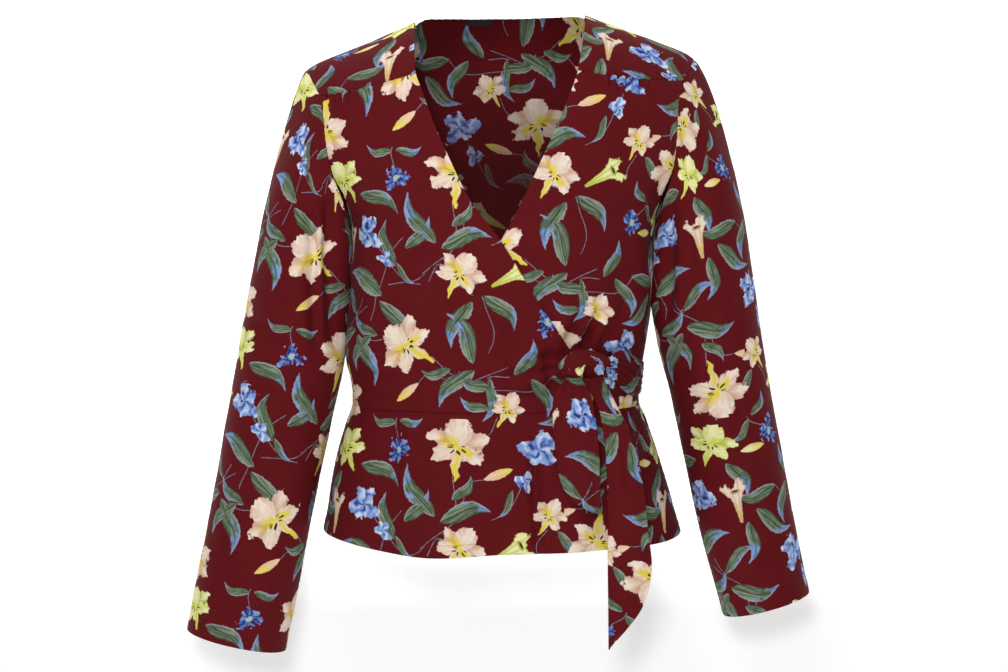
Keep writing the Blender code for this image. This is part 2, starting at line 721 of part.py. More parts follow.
CAP_RINGS = 7                 # rings between the armhole and the free part of the sleeve
ARM_RINGS = 13                # rings from there to the cuff
RING_POWER = 0.95             # 1 is an ellipse, less is squarer
SEAM_SPREAD = 0.0005          # extra room under the arm, where the cloth folds on itself
BACK_FOLD_SHIFT = (0.012, 0.030)   # the folds behind lie this far out and down from those in front


def make_sleeve(side, name, shade):
    """A set-in sleeve: its head starts on the armhole's own points and runs into the rings."""
    table = SLEEVES[side]
    points, normals, ways = armhole_loop(side)
    count = len(points)
    lengths = [0.0]
    for i in range(count):
        lengths.append(lengths[-1] + (points[(i + 1) % count] - points[i]).length)
    armpit = len(ARM_FRACTIONS) - 1 + 4
    turns = []
    for i in range(count + 1):
        if i <= armpit:
            share = lengths[i] / lengths[armpit]
            turns.append(math.pi * share ** CAP_SPREAD)
        else:
            share = (lengths[-1] - lengths[i]) / (lengths[-1] - lengths[armpit])
            turns.append(2 * math.pi - math.pi * share ** CAP_SPREAD)
    last = table.key[-1]

    def ring(turn, step):
        row = {n: table.at(step, n) for n in table.names[1:]}
        outer = Vector((row["outer_x"], row["mid_y"], row["outer_z"]))
        inner = Vector((row["inner_x"], row["mid_y"], row["inner_z"]))
        middle, half = (outer + inner) / 2, (outer - inner) / 2
        c, s = math.cos(turn), math.sin(turn)
        forward = Vector((0, -row["half_depth"], 0))
        place = middle + half * math.copysign(abs(c) ** RING_POWER, c)
        return place + forward * math.copysign(abs(s) ** RING_POWER, s)

    def down(turn):
        return (ring(turn, 0.15) - ring(turn, 0.0)).normalized()

    def loop_at(values, index):
        i = int(math.floor(index)) % count
        t = index - math.floor(index)
        return values[i].lerp(values[(i + 1) % count], t)

    def surface(index, step):
        turn = float(np.interp(index % count, range(count + 1), turns))
        if step >= 0:
            return ring(turn, step)
        t = 1 + step
        under = (1 - math.cos(turn)) / 2
        way = loop_at(ways, index)
        away = loop_at(normals, index)
        seam = loop_at(points, index)
        end = ring(turn, 0.0)
        leaving = (end - seam).normalized()
        concave = smoothstep(leaving.dot(away) / 0.25)
        shift = (way + (leaving + away * 0.5) * concave).normalized()
        start = seam + shift * (SEAM_GAP + SEAM_SPREAD * under)
        reach = (end - start).length
        axis = down(turn)
        lead_way = (way * (1 - under) + axis * (under + 0.15)).normalized()
        lead = CAP_LEAD[side] * (1 - under) + 0.3 * reach * under
        c1 = start + lead_way * min(lead, 0.4 * reach)
        c2 = end - axis * 0.36 * reach
        a, b = 1 - t, t
        return start * a**3 + c1 * 3 * a * a * b + c2 * 3 * a * b * b + end * b**3

    columns = spread(0, 1, count)
    steps = spread(-1, 0, CAP_RINGS)[:-1] + spread(0, last, ARM_RINGS)
    bm = flat_slab(columns, fractions(steps))
    seam_walls = [f for f in bm.faces if all(v.co.x < 1e-6 for v in f.verts)
                  or all(v.co.x > 1 - 1e-6 for v in f.verts)]
    bmesh.ops.delete(bm, geom=seam_walls, context="FACES")
    for vert in bm.verts:
        s, r, inside = vert.co
        index = (s * count) % count
        step = steps[0] + (steps[-1] - steps[0]) * r
        point = surface(index, step)
        if step <= -1 + 1e-9:
            ahead = surface(index, step + 2e-3) - point
            beside = surface(index + 0.05, step + 1e-4) - surface(index - 0.05, step + 1e-4)
        elif step >= last - 1e-9:
            ahead = point - surface(index, step - 2e-3)
            beside = surface(index + 0.05, step) - surface(index - 0.05, step)
        else:
            ahead = surface(index, step + 2e-3) - surface(index, step - 2e-3)
            beside = surface(index + 0.05, step) - surface(index - 0.05, step)
        normal = beside.cross(ahead).normalized() * side
        if step <= -1 + 1e-9:
            way = ways[round(index) % count]
            toward = normal.dot(way)
            if toward > 0:
                normal = (normal - way * toward).normalized()
        if normal.y < 0:
            height = fold_height(SLEEVE_FOLDS[side], point.x, point.z)
        else:
            out, below = BACK_FOLD_SHIFT
            height = 0.8 * fold_height(SLEEVE_FOLDS[side], point.x + side * out, point.z + below)
        height *= abs(normal.y) * smoothstep((step + 1) * 3)
        vert.co = point + normal * (height - WALL * inside)
    bmesh.ops.remove_doubles(bm, verts=bm.verts[:], dist=1e-6)
    return finish_piece(name, bm, shade)


# ---------------------------------------------------------------- tie, knot and sash
def band(name, table, top_z, shade, rows, curl):
    """A hanging tie end: a slab between two edges, a little curled across its width."""
    length = table.key[-1]
    bm = flat_slab(spread(0, 1, 6), spread(0, 1, rows))
    for vert in bm.verts:
        s, r, inside = vert.co
        down = length * r
        left, right = table.at(down, "left"), table.at(down, "right")
        bow = curl * (1 - (2 * s - 1) ** 2) * smoothstep(r * 3 + 0.2)
        slope = 0.02 * math.sin(2.2 * math.pi * r)
        x = left + (right - left) * s
        y = table.at(down, "y") - bow + slope * (s - 0.5) * 0.3 + WALL * inside
        vert.co = (x, y, top_z - down)
    return finish_piece(name, bm, shade)


def make_knot():
    """The knot: one strap wrapped over another, as a soft rounded lump with folds."""
    bm = bmesh.new()
    bmesh.ops.create_uvsphere(bm, u_segments=20, v_segments=12, radius=1.0)
    base_y = torso(angle_at(KNOT["x"], KNOT["z"]), KNOT["z"]).y
    for vert in bm.verts:
        x, y, z = vert.co
        pinch = 1 - 0.22 * math.cos(3.0 * x) * z * z
        ridge = 1 + 0.10 * math.sin(7 * (z + 0.55 * x)) + 0.05 * math.sin(11 * x - 4 * z)
        knot_x = KNOT["x"] + KNOT["half_width"] * x * ridge * pinch
        knot_z = KNOT["z"] + KNOT["half_height"] * z * ridge - 0.004 * x
        cloth_y = torso(angle_at(knot_x, knot_z), knot_z).y
        knot_y = base_y - KNOT["lift"] + 0.0115 * y * ridge
        vert.co = (knot_x, min(knot_y, cloth_y - KNOT["clear"]), knot_z)
    return finish_piece("tie_knot", bm, 1.1)


def make_sash():
    """The sash drawn from the side seam to the knot, with fine gathers at the seam."""
    start, end = SASH.key[-1], SASH.key[0]
    bm = flat_slab(spread(0, 1, 12), spread(0, 1, 14))
    for vert in bm.verts:
        s, r, inside = vert.co
        x = start + (end - start) * s
        low, high = SASH.at(x, "low"), SASH.at(x, "high")
        z = low + (high - low) * r
        angle = angle_at(x, z)
        normal = normal_of(torso, angle, z)
        wave = math.sin(2 * math.pi * SASH_GATHERS * r + 2.2 * s) * math.sin(math.pi * r) ** 0.5
        lift = SASH.at(x, "lift") + SASH_GATHER_HEIGHT * wave + SASH_CROWN * math.sin(math.pi * r)
        vert.co = torso(angle, z) + normal * (lift - WALL * inside)
    return finish_piece("sash", bm, 1.05)


def main():
    for thing in list(bpy.data.objects):
        bpy.data.objects.remove(thing)
    front_piece("bodice_front_over", RIGHT, "over", over_height, spread(0, 1, 18), 1.0)
    front_piece("bodice_front_under", LEFT, "under", under_height, spread(0, 1, 16), 0.9)
    make_back()
    make_yoke(RIGHT, "yoke_right", 1.05)
    make_yoke(LEFT, "yoke_left", 1.05)
    make_peplums()
    make_sleeve(RIGHT, "sleeve_right", 1.0)
    make_sleeve(LEFT, "sleeve_left", 1.0)
    make_sash()
    make_knot()
    band("tie_long_end", LONG_END, LONG_END_TOP_Z, 1.0, 20, 0.004)
    band("tie_short_end", SHORT_END, SHORT_END_TOP_Z, 1.0, 12, 0.003)
    for piece in parts_collection().objects:
        print(piece.name, len(piece.data.polygons), "faces")


main()
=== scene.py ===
# %% [markdown]
# # A printed wrap top, filled out and hollow
#
# The top is cut from one thin printed cloth: two fronts that lap over each other, a back, two
# shoulder yokes that come forward, a flared peplum in three pieces, two set-in sleeves, and a
# sash that runs from the side seam to a knot with two tie ends. It stands as if worn, with
# nobody in it, so every piece here is a thin shell that is open at neck, hem and cuffs.
# The solids of the model are loaded first. They are the fixed frame, and each shell below
# takes the place of one of them.

# %% Load the fixed frame
import math
from collections import namedtuple

import bmesh
import bpy
import numpy as np
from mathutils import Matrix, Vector, noise


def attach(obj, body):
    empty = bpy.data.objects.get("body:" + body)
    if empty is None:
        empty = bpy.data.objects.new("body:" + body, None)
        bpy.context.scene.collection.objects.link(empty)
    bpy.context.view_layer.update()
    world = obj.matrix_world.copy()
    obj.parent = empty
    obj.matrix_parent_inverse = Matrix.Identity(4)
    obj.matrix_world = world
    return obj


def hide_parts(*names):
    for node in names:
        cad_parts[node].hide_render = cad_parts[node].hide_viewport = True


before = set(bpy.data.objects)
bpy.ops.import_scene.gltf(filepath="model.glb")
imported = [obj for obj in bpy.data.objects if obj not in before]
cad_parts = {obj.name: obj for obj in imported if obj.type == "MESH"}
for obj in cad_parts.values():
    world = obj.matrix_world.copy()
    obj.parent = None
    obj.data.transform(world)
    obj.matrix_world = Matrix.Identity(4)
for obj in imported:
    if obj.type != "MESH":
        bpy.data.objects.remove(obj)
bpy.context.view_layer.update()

# %% [markdown]
# ## Camera
#
# A garment is usually shown from straight ahead with a long lens, which keeps both sleeves
# the same size. The camera stands 2.6 m away and looks down by five degrees.

# %% Place the camera
AIM = Vector((0.0043, 0.0, -0.34))
CAMERA_DISTANCE = 2.60
CAMERA_RISE = math.radians(5.0)
VIEW_WIDTH = 1.0933           # how much of the plane through the aim the picture takes in
SENSOR_WIDTH = 36             # millimetres, as on a full-frame camera

camera_data = bpy.data.cameras.new("camera")
camera = bpy.data.objects.new("camera", camera_data)
bpy.context.scene.collection.objects.link(camera)
back = Vector((0, -math.cos(CAMERA_RISE), math.sin(CAMERA_RISE)))
camera.location = AIM + back * CAMERA_DISTANCE
camera.rotation_mode = "QUATERNION"
camera.rotation_quaternion = (-back).to_track_quat("-Z", "Y")
camera_data.sensor_width = SENSOR_WIDTH
camera_data.lens = SENSOR_WIDTH * CAMERA_DISTANCE / VIEW_WIDTH
bpy.context.scene.camera = camera
bpy.context.scene.view_settings.view_transform = "Standard"
print("lens", round(camera_data.lens, 1), "mm")

# %% [markdown]
# ## Shader maths as Python
#
# Every finish here is worked out by nodes. To keep the formulas readable, a small class wraps
# a socket and overloads the arithmetic operators, so that an expression adds its Math nodes
# by itself. Any other node comes from one method of a second class, which holds the material.

# %% A socket that takes arithmetic
class Value:
    """A shader socket: arithmetic on it adds Math nodes."""

    def __init__(self, paint, socket):
        self.paint, self.socket = paint, socket

    def math(self, operation, *others):
        settings = {"operation": operation}
        return self.paint.make("ShaderNodeMath", settings, dict(enumerate((self, *others))))

    def __add__(self, other):
        return self.math("ADD", other)

    def __mul__(self, other):
        return self.math("MULTIPLY", other)

    __radd__, __rmul__ = __add__, __mul__

    def __sub__(self, other):
        return self.math("SUBTRACT", other)

    def __rsub__(self, other):
        return (self * -1) + other

    def __truediv__(self, other):
        return self.math("DIVIDE", other)

    def __pow__(self, other):
        return self.math("POWER", other)

    def __abs__(self):
        return self.math("ABSOLUTE")

    def __lt__(self, other):
        return self.math("LESS_THAN", other)

    def __gt__(self, other):
        return self.math("GREATER_THAN", other)

# %% A material that nodes are added to
class Paint:
    """A node material. make() adds any node and returns one of its outputs."""

    def __init__(self, name):
        self.material = bpy.data.materials.new(name)
        self.material.use_nodes = True
        self.tree = self.material.node_tree
        self.surface = self.tree.nodes["Principled BSDF"]

    def make(self, kind, settings=None, inputs=None, out=0):
        node = self.tree.nodes.new(kind)
        for key, value in (settings or {}).items():
            setattr(node, key, value)
        for key, value in (inputs or {}).items():
            self.put(node.inputs[key], value)
        return Value(self, node.outputs[out])

    def put(self, socket, value):
        if isinstance(value, Value):
            self.tree.links.new(value.socket, socket)
        else:
            socket.default_value = value

    def colour(self, factor, first, second):
        """first where factor is 0, second where it is 1."""
        paints = [p if isinstance(p, Value) else (*p, 1.0) for p in (first, second)]
        settings = {"data_type": "RGBA", "clamp_factor": True}
        return self.make("ShaderNodeMix", settings, {0: factor, 6: paints[0], 7: paints[1]}, 2)

    def grain(self, vector, scale, detail=2.0):
        """Noise between 0 and 1."""
        return self.make("ShaderNodeTexNoise", None,
                         {"Vector": vector, "Scale": scale, "Detail": detail})

    def vector(self, x, y, z=0.0):
        return self.make("ShaderNodeCombineXYZ", None, {0: x, 1: y, 2: z})

    def split(self, vector, kind="XYZ"):
        """The three parts of a vector, or of a colour where kind is Color."""
        parts = self.make("ShaderNodeSeparate" + kind, None, {0: vector}).socket.node.outputs
        return [Value(self, part) for part in parts]

    def map(self, name):
        """x and y of one of the piece's own UV maps, and the pair as a vector."""
        pair = self.make("ShaderNodeUVMap", {"uv_map": name})
        x, y, _ = self.split(pair)
        return x, y, pair

    def finish(self, **values):
        for key, value in values.items():
            self.put(self.surface.inputs[key.replace("_", " ")], value)
        return self.material


def clamped(value):
    return value.paint.make("ShaderNodeMath", {"operation": "ADD", "use_clamp": True},
                            {0: value, 1: 0.0})


def inside(distance, feather):
    """1 where distance is above 0, 0 below, with a soft edge as wide as feather."""
    return clamped(distance / feather + 0.5)


def between(value, low, high):
    """0 at low and 1 at high, straight between them."""
    return clamped((value - low) / (high - low))

# %% [markdown]
# ## Backdrop and light
#
# The stage is a pale floor that sweeps up into a wall close behind the top. The paper glows by
# itself and stays near white. From the hem down it glows less, so that the lamps can leave a
# faint shadow below the hem and the cuffs. The wall is one-sided, so that the back of the top
# can be looked at through it. Two round lamps light the top, one close to the camera and one
# from above. They are small, because a lamp as large as a window would wash the folds out.

# %% Build the sweep
WALL_Y = 0.134
FLOOR_Z = -1.05
STAGE_SIZE = 6.0
SWEEP_RADIUS, SWEEP_STEPS = 0.10, 12
GLOW_BASE, GLOW_RISE = 0.34, 0.62     # of the paper, low down and how much more above
GLOW_FROM, GLOW_TO = 0.38, 0.50       # heights above the floor between which it rises

bpy.ops.object.select_all(action="DESELECT")
bpy.ops.mesh.primitive_plane_add(size=STAGE_SIZE, location=(0, WALL_Y - STAGE_SIZE / 2, FLOOR_Z))
sweep = bpy.context.object
sweep.name = "backdrop"
bpy.ops.object.mode_set(mode="EDIT")
bm = bmesh.from_edit_mesh(sweep.data)
for thing in (*bm.faces, *bm.edges, *bm.verts):
    thing.select = False
for edge in bm.edges:
    edge.select = all(v.co.y > STAGE_SIZE / 2 - 0.01 for v in edge.verts)
bm.select_flush_mode()
bmesh.update_edit_mesh(sweep.data)
bpy.ops.mesh.extrude_region_move(TRANSFORM_OT_translate={"value": (0, 0, STAGE_SIZE / 2)})
bpy.ops.object.mode_set(mode="OBJECT")
rounding = sweep.modifiers.new("sweep", "BEVEL")
rounding.width, rounding.segments = SWEEP_RADIUS, SWEEP_STEPS
sweep.data.shade_smooth()

paper = Paint("backdrop_paper")
facing = paper.make("ShaderNodeNewGeometry", None, None, out="Backfacing")
clear = paper.make("ShaderNodeBsdfTransparent")
place = paper.make("ShaderNodeTexCoord", None, None, out="Object")
glow = between(paper.split(place)[2], GLOW_FROM, GLOW_TO) * GLOW_RISE + GLOW_BASE
paper.finish(Base_Color=(0.80, 0.80, 0.80, 1), Roughness=0.9, Specular_IOR_Level=0.0,
             Emission_Strength=1.0, Emission_Color=paper.vector(glow, glow, glow))
mixed = paper.make("ShaderNodeMixShader", None,
                   {0: facing, 1: Value(paper, paper.surface.outputs[0]), 2: clear})
paper.put(paper.tree.nodes["Material Output"].inputs[0], mixed)
sweep.data.materials.append(paper.material)
print("backdrop stands", round(WALL_Y * 100, 1), "cm behind the middle of the top")

# %% Set the lights
WORLD_LIGHT = 0.15


def soft_light(name, place, size, power):
    """A round lamp that points at the middle of the top."""
    data = bpy.data.lights.new(name, "AREA")
    data.shape, data.size, data.size_y, data.energy = "ELLIPSE", size, size, power
    light = bpy.data.objects.new(name, data)
    bpy.context.scene.collection.objects.link(light)
    light.location = place
    light.rotation_mode = "QUATERNION"
    light.rotation_quaternion = (AIM - Vector(place)).to_track_quat("-Z", "Y")
    print(name, power, "W")


soft_light("front_light", (-0.12, -2.5, 0.22), 0.35, 22.5)
soft_light("top_light", (-0.20, -0.9, 0.9), 0.5, 8.0)
world = bpy.data.worlds.new("studio")
world.use_nodes = True
world.node_tree.nodes["Background"].inputs[0].default_value = (1, 1, 1, 1)
world.node_tree.nodes["Background"].inputs[1].default_value = WORLD_LIGHT
bpy.context.scene.world = world

# %% [markdown]
# ## The worn form
#
# All the body pieces lie on one form: a table gives its half widths and depths at each
# height, and a smooth curve reads between the rows. An angle of 0 is the centre front and 90
# degrees the wearer's left side. Near the shoulders the form rounds up to the shoulder line.
# These are the same sizes as those of the solids, and here they work on whole arrays.

# %% Tables with named columns
def hermite(t, start, leave, end, arrive):
    """From start to end as t goes from 0 to 1, with these slopes at both ends."""
    return ((2 * t**3 - 3 * t**2 + 1) * start + (t**3 - 2 * t**2 + t) * leave
            + (3 * t**2 - 2 * t**3) * end + (t**3 - t**2) * arrive)


class Table:
    """Rows of sizes with named columns, read between the rows on a smooth curve."""

    def __init__(self, columns, rows):
        self.names = columns.split()
        self.data = np.array(rows, dtype=float)
        self.key = self.data[:, 0]
        slopes = np.diff(self.data, axis=0) / np.diff(self.key)[:, None]
        self.tangents = np.vstack([slopes[:1], (slopes[1:] + slopes[:-1]) / 2, slopes[-1:]])

    def at(self, key, name):
        column = self.names.index(name)
        key = np.clip(key, self.key[0], self.key[-1])
        i = np.clip(np.searchsorted(self.key, key) - 1, 0, len(self.key) - 2)
        span = self.key[i + 1] - self.key[i]
        leave, arrive = self.tangents[i, column] * span, self.tangents[i + 1, column] * span
        return hermite((key - self.key[i]) / span, self.data[i, column], leave,
                       self.data[i + 1, column], arrive)

# %% Sizes of the form
RIGHT, LEFT = -1, 1           # the wearer's sides, as the sign of x
WAIST_Z = -0.413              # waist seam
HEM_Z = -0.555                # lower edge of the peplum, on average
ARMPIT_Z = {RIGHT: -0.217, LEFT: -0.206}
SHOULDER_TIP_X = {RIGHT: 0.2075, LEFT: 0.2085}
NECK_X = 0.0915               # shoulder line at the neck
BACK_NECK_Z = 0.005           # neckline at the centre back
RIDGE_DEPTH = 0.090           # height over which the chest rounds up to the shoulder line
SECTION_POWER = 0.88          # 1 is an ellipse, less is squarer
YOKE_BACK_DROP = 0.0045       # the yoke's back seam below the shoulder line
WALL = 0.0012                 # wall of the solids, which the laps are spaced for
LAP_GAP = 0.0016              # between two layers that lie on each other

# Half widths to the wearer's right and left, and depths to the front and back.
TORSO = Table("z right left front back", (
    (-0.570, 0.1955, 0.201, 0.134, 0.119),
    (-0.553, 0.1930, 0.1965, 0.133, 0.117),
    (-0.530, 0.1885, 0.1905, 0.130, 0.113),
    (-0.500, 0.184, 0.182, 0.123, 0.107),
    (-0.465, 0.1765, 0.171, 0.113, 0.099),
    (-0.435, 0.168, 0.1595, 0.103, 0.090),
    (-0.413, 0.1605, 0.1515, 0.098, 0.084),
    (-0.392, 0.1615, 0.1505, 0.099, 0.081),
    (-0.365, 0.167, 0.1545, 0.102, 0.080),
    (-0.335, 0.1665, 0.1595, 0.107, 0.082),
    (-0.305, 0.1635, 0.1632, 0.114, 0.087),
    (-0.270, 0.1605, 0.1650, 0.120, 0.093),
    (-0.240, 0.1592, 0.1660, 0.122, 0.098),
    (-0.217, 0.1592, 0.1662, 0.121, 0.101),
    (-0.206, 0.1640, 0.1668, 0.120, 0.102),
    (-0.190, 0.1740, 0.1770, 0.119, 0.104),
    (-0.160, 0.1940, 0.1960, 0.115, 0.106),
    (-0.130, 0.2060, 0.2070, 0.109, 0.107),
    (-0.090, 0.2130, 0.2140, 0.101, 0.104),
    (-0.040, 0.2180, 0.2190, 0.093, 0.098),
    (0.040, 0.2200, 0.2210, 0.088, 0.092)))

# Height of the shoulder line over each side. Inside the neck it only guides the neckline.
SHOULDER = Table("x right left", (
    (0.000, 0.034, 0.036),
    (0.045, 0.021, 0.025),
    (0.092, -0.002, 0.005),
    (0.135, -0.0215, -0.0105),
    (0.180, -0.0390, -0.0275),
    (0.200, -0.0480, -0.0360),
    (0.210, -0.0545, -0.0430),
    (0.230, -0.0715, -0.0600)))

# The armhole as an angle round the form, from the armpit (0) to the shoulder tip (1).
ARMHOLE = Table("rise degrees", (
    (0.000, 90.0), (0.065, 80.5), (0.160, 74.0), (0.340, 67.5),
    (0.530, 63.5), (0.800, 62.5), (0.920, 66.0), (1.000, 72.0)))

# Free edges of the two fronts, from the waist seam up to the yoke, as x at each height.
WRAP_EDGE = Table("z over under", (
    (-0.413, 0.118, -0.085),
    (-0.345, 0.073, -0.060),
    (-0.290, 0.037, -0.034),
    (-0.231, 0.001, 0.001),
    (-0.190, -0.030, 0.023),
    (-0.151, -0.050, 0.0415),
    (-0.112, -0.067, 0.0590),
    (-0.075, -0.080, 0.0735),
    (-0.054, -0.0875, 0.0805),
    (0.000, -0.0915, 0.0915)))

# The yoke's front seam: its neck end as x and z, how far it sags, and its armhole end.
YOKE_FRONT = {
    RIGHT: {"neck": (-0.0880, -0.0580), "bow": 0.002, "arm_z": -0.0825},
    LEFT: {"neck": (0.0815, -0.0550), "bow": 0.003, "arm_z": -0.0650},
}

# How far the back's neck edge stands above the form, where it rolls up beside the yokes.
NECK_RISE = Table("x rise", (
    (-0.1000, 0.0000), (-0.0925, 0.0022), (-0.0820, 0.0060), (-0.0670, 0.0043),
    (-0.0450, 0.0017), (-0.0300, 0.0000), (0.0140, 0.0000), (0.0400, 0.0013),
    (0.0630, 0.0024), (0.0790, 0.0037), (0.0880, 0.0034), (0.0990, 0.0000)))

# The hem all round, from the wearer's right side over the front to the right side again.
HEM = Table("degrees z", (
    (-90, -0.5475), (-62, -0.5520), (-25, -0.5610), (0, -0.5570), (30, -0.5550),
    (60, -0.5545), (90, -0.5515), (135, -0.5560), (180, -0.5575), (225, -0.5550),
    (270, -0.5475)))
print("waist seam", round(float(sum(TORSO.at(WAIST_Z, side) for side in ("right", "left"))), 3),
      "m wide")

# %% The form as functions of arrays
def half_width(x, z):
    """Half width on the side that the sign of x names."""
    return np.where(np.asarray(x) < 0, TORSO.at(z, "right"), TORSO.at(z, "left"))


def shoulder_z(x):
    x = np.asarray(x, dtype=float)
    return np.where(x < 0, SHOULDER.at(abs(x), "right"), SHOULDER.at(abs(x), "left"))


def torso(angle, z):
    """Points of the worn form at these angles and heights."""
    angle, z = np.broadcast_arrays(angle, z)
    x = half_width(np.sin(angle), z) * np.sin(angle)
    depth = np.where(np.cos(angle) >= 0, TORSO.at(z, "front"), -TORSO.at(z, "back"))
    below = np.clip(1 - (shoulder_z(x) - z) / RIDGE_DEPTH, 0.0, 1.0)
    round_up = np.sqrt(1 - below * below)
    y = -depth * abs(np.cos(angle)) ** SECTION_POWER * round_up
    return np.stack([x, y, z], axis=-1)


def angle_at(x, z):
    return np.arcsin(np.clip(x / half_width(x, z), -1.0, 1.0))


def turn_at(x, z):
    return np.arccos(np.clip(1 - (shoulder_z(x) - z) / RIDGE_DEPTH, -1.0, 1.0))


def over_shoulder(x, turn):
    """The form near the shoulder line: turn is positive in front and negative behind."""
    z = shoulder_z(x) - RIDGE_DEPTH * (1 - np.cos(turn))
    angle = angle_at(x, z)
    return torso(np.where(np.asarray(turn) >= 0, angle, math.pi - angle), z)


def tip_z(side):
    return float(shoulder_z(side * SHOULDER_TIP_X[side]))


def armhole_angle(side, z):
    rise = (z - ARMPIT_Z[side]) / (tip_z(side) - ARMPIT_Z[side])
    return side * np.radians(ARMHOLE.at(rise, "degrees"))


def arm_x(side, z):
    angle = armhole_angle(side, z)
    return half_width(side, z) * np.sin(angle)


def smoothstep(t):
    t = np.clip(t, 0.0, 1.0)
    return t * t * (3 - 2 * t)

# %% Seam lines
def yoke_front_seam(side, s):
    """x and z on the yoke's front seam, from the armhole (0) to the neck edge (1)."""
    seam = YOKE_FRONT[side]
    start_x, start_z = float(arm_x(side, seam["arm_z"])), seam["arm_z"]
    end_x, end_z = seam["neck"]
    x = start_x + (end_x - start_x) * s
    z = start_z + (end_z - start_z) * s - seam["bow"] * np.sin(math.pi * s)
    return x, z


def yoke_seam_z(side, x):
    start_x = float(arm_x(side, YOKE_FRONT[side]["arm_z"]))
    s = (x - start_x) / (YOKE_FRONT[side]["neck"][0] - start_x)
    return yoke_front_seam(side, s)[1]


def back_seam_x(side):
    return float(arm_x(side, tip_z(side) - YOKE_BACK_DROP))


def neck_x(side, turn):
    front_x, front_z = YOKE_FRONT[side]["neck"]
    front_turn = float(turn_at(front_x, front_z))
    start = side * NECK_X
    return start + (front_x - start) * (np.maximum(turn, 0.0) / front_turn) ** 2


def arm_x_over_shoulder(side, turn):
    """x of the yoke's armhole edge."""
    tip = side * SHOULDER_TIP_X[side]
    front_x, front_z = (float(v) for v in yoke_front_seam(side, 0.0))
    back_x = back_seam_x(side)
    front_turn = float(turn_at(front_x, front_z))
    back_turn = float(turn_at(back_x, tip_z(side) - YOKE_BACK_DROP))
    return np.where(np.asarray(turn) >= 0,
                    tip + (front_x - tip) * (turn / front_turn) ** 2,
                    tip + (back_x - tip) * (turn / back_turn) ** 2)


def back_top(s):
    """x and z along the top of the back: yoke seam, neckline, yoke seam."""
    ends = {side: back_seam_x(side) for side in (RIGHT, LEFT)}
    x = ends[RIGHT] + (ends[LEFT] - ends[RIGHT]) * np.asarray(s, dtype=float)
    z = np.zeros_like(x)
    for side in (RIGHT, LEFT):
        here = x < 0 if side == RIGHT else x >= 0
        seam_z = shoulder_z(x) - YOKE_BACK_DROP
        reach = (abs(x) - NECK_X) / (abs(ends[side]) - NECK_X)
        end_error = tip_z(side) - float(shoulder_z(ends[side]))
        neck_z = float(shoulder_z(side * NECK_X)) - YOKE_BACK_DROP
        rise = np.cos(math.pi / 2 * np.clip(x / NECK_X, -1, 1)) ** 0.8
        on_yoke = abs(x) >= NECK_X
        value = np.where(on_yoke, seam_z + end_error * reach,
                         neck_z + (BACK_NECK_Z - neck_z) * rise)
        z = np.where(here, value, z)
    return x, z


print("shoulder tips at", round(tip_z(RIGHT), 4), round(tip_z(LEFT), 4))

# %% [markdown]
# ## Creases, gathers and puckers
#
# Thin viscose falls in soft troughs and ridges. Each crease is a short row of a table: where
# it starts and ends in the front view, how far it bows, how wide and how high it is. Its
# height fades at both ends, and a trough has a small ridge beside it, because pushed cloth
# has to go somewhere. The big ones are those of the solids, and the small ones are added.

# %% Creases of the fronts, the back, the peplum and the sleeves
Crease = namedtuple("Crease", "x0 z0 x1 z1 width height bow", defaults=(0.0,))

FRONT_CREASES = (
    Crease(0.125, -0.268, 0.083, -0.338, 0.010, -0.0040),
    Crease(0.118, -0.300, 0.100, -0.345, 0.009, 0.0030),
    Crease(0.150, -0.235, 0.095, -0.262, 0.016, -0.0025),
    Crease(0.060, -0.372, -0.020, -0.385, 0.008, 0.0022),
    Crease(0.055, -0.392, -0.040, -0.402, 0.008, -0.0022),
    Crease(0.052, -0.352, 0.010, -0.335, 0.012, -0.0022),
    Crease(0.013, -0.320, 0.014, -0.395, 0.009, -0.0038),
    Crease(-0.138, -0.248, -0.095, -0.285, 0.015, -0.0025),
    Crease(-0.150, -0.380, -0.110, -0.360, 0.010, -0.0020),
    Crease(-0.165, -0.185, -0.135, -0.140, 0.012, -0.0020),
    Crease(0.165, -0.175, 0.140, -0.130, 0.012, -0.0020),
    Crease(-0.143, -0.235, -0.142, -0.320, 0.011, 0.0034),
    Crease(0.148, -0.225, 0.148, -0.310, 0.011, 0.0034),
)
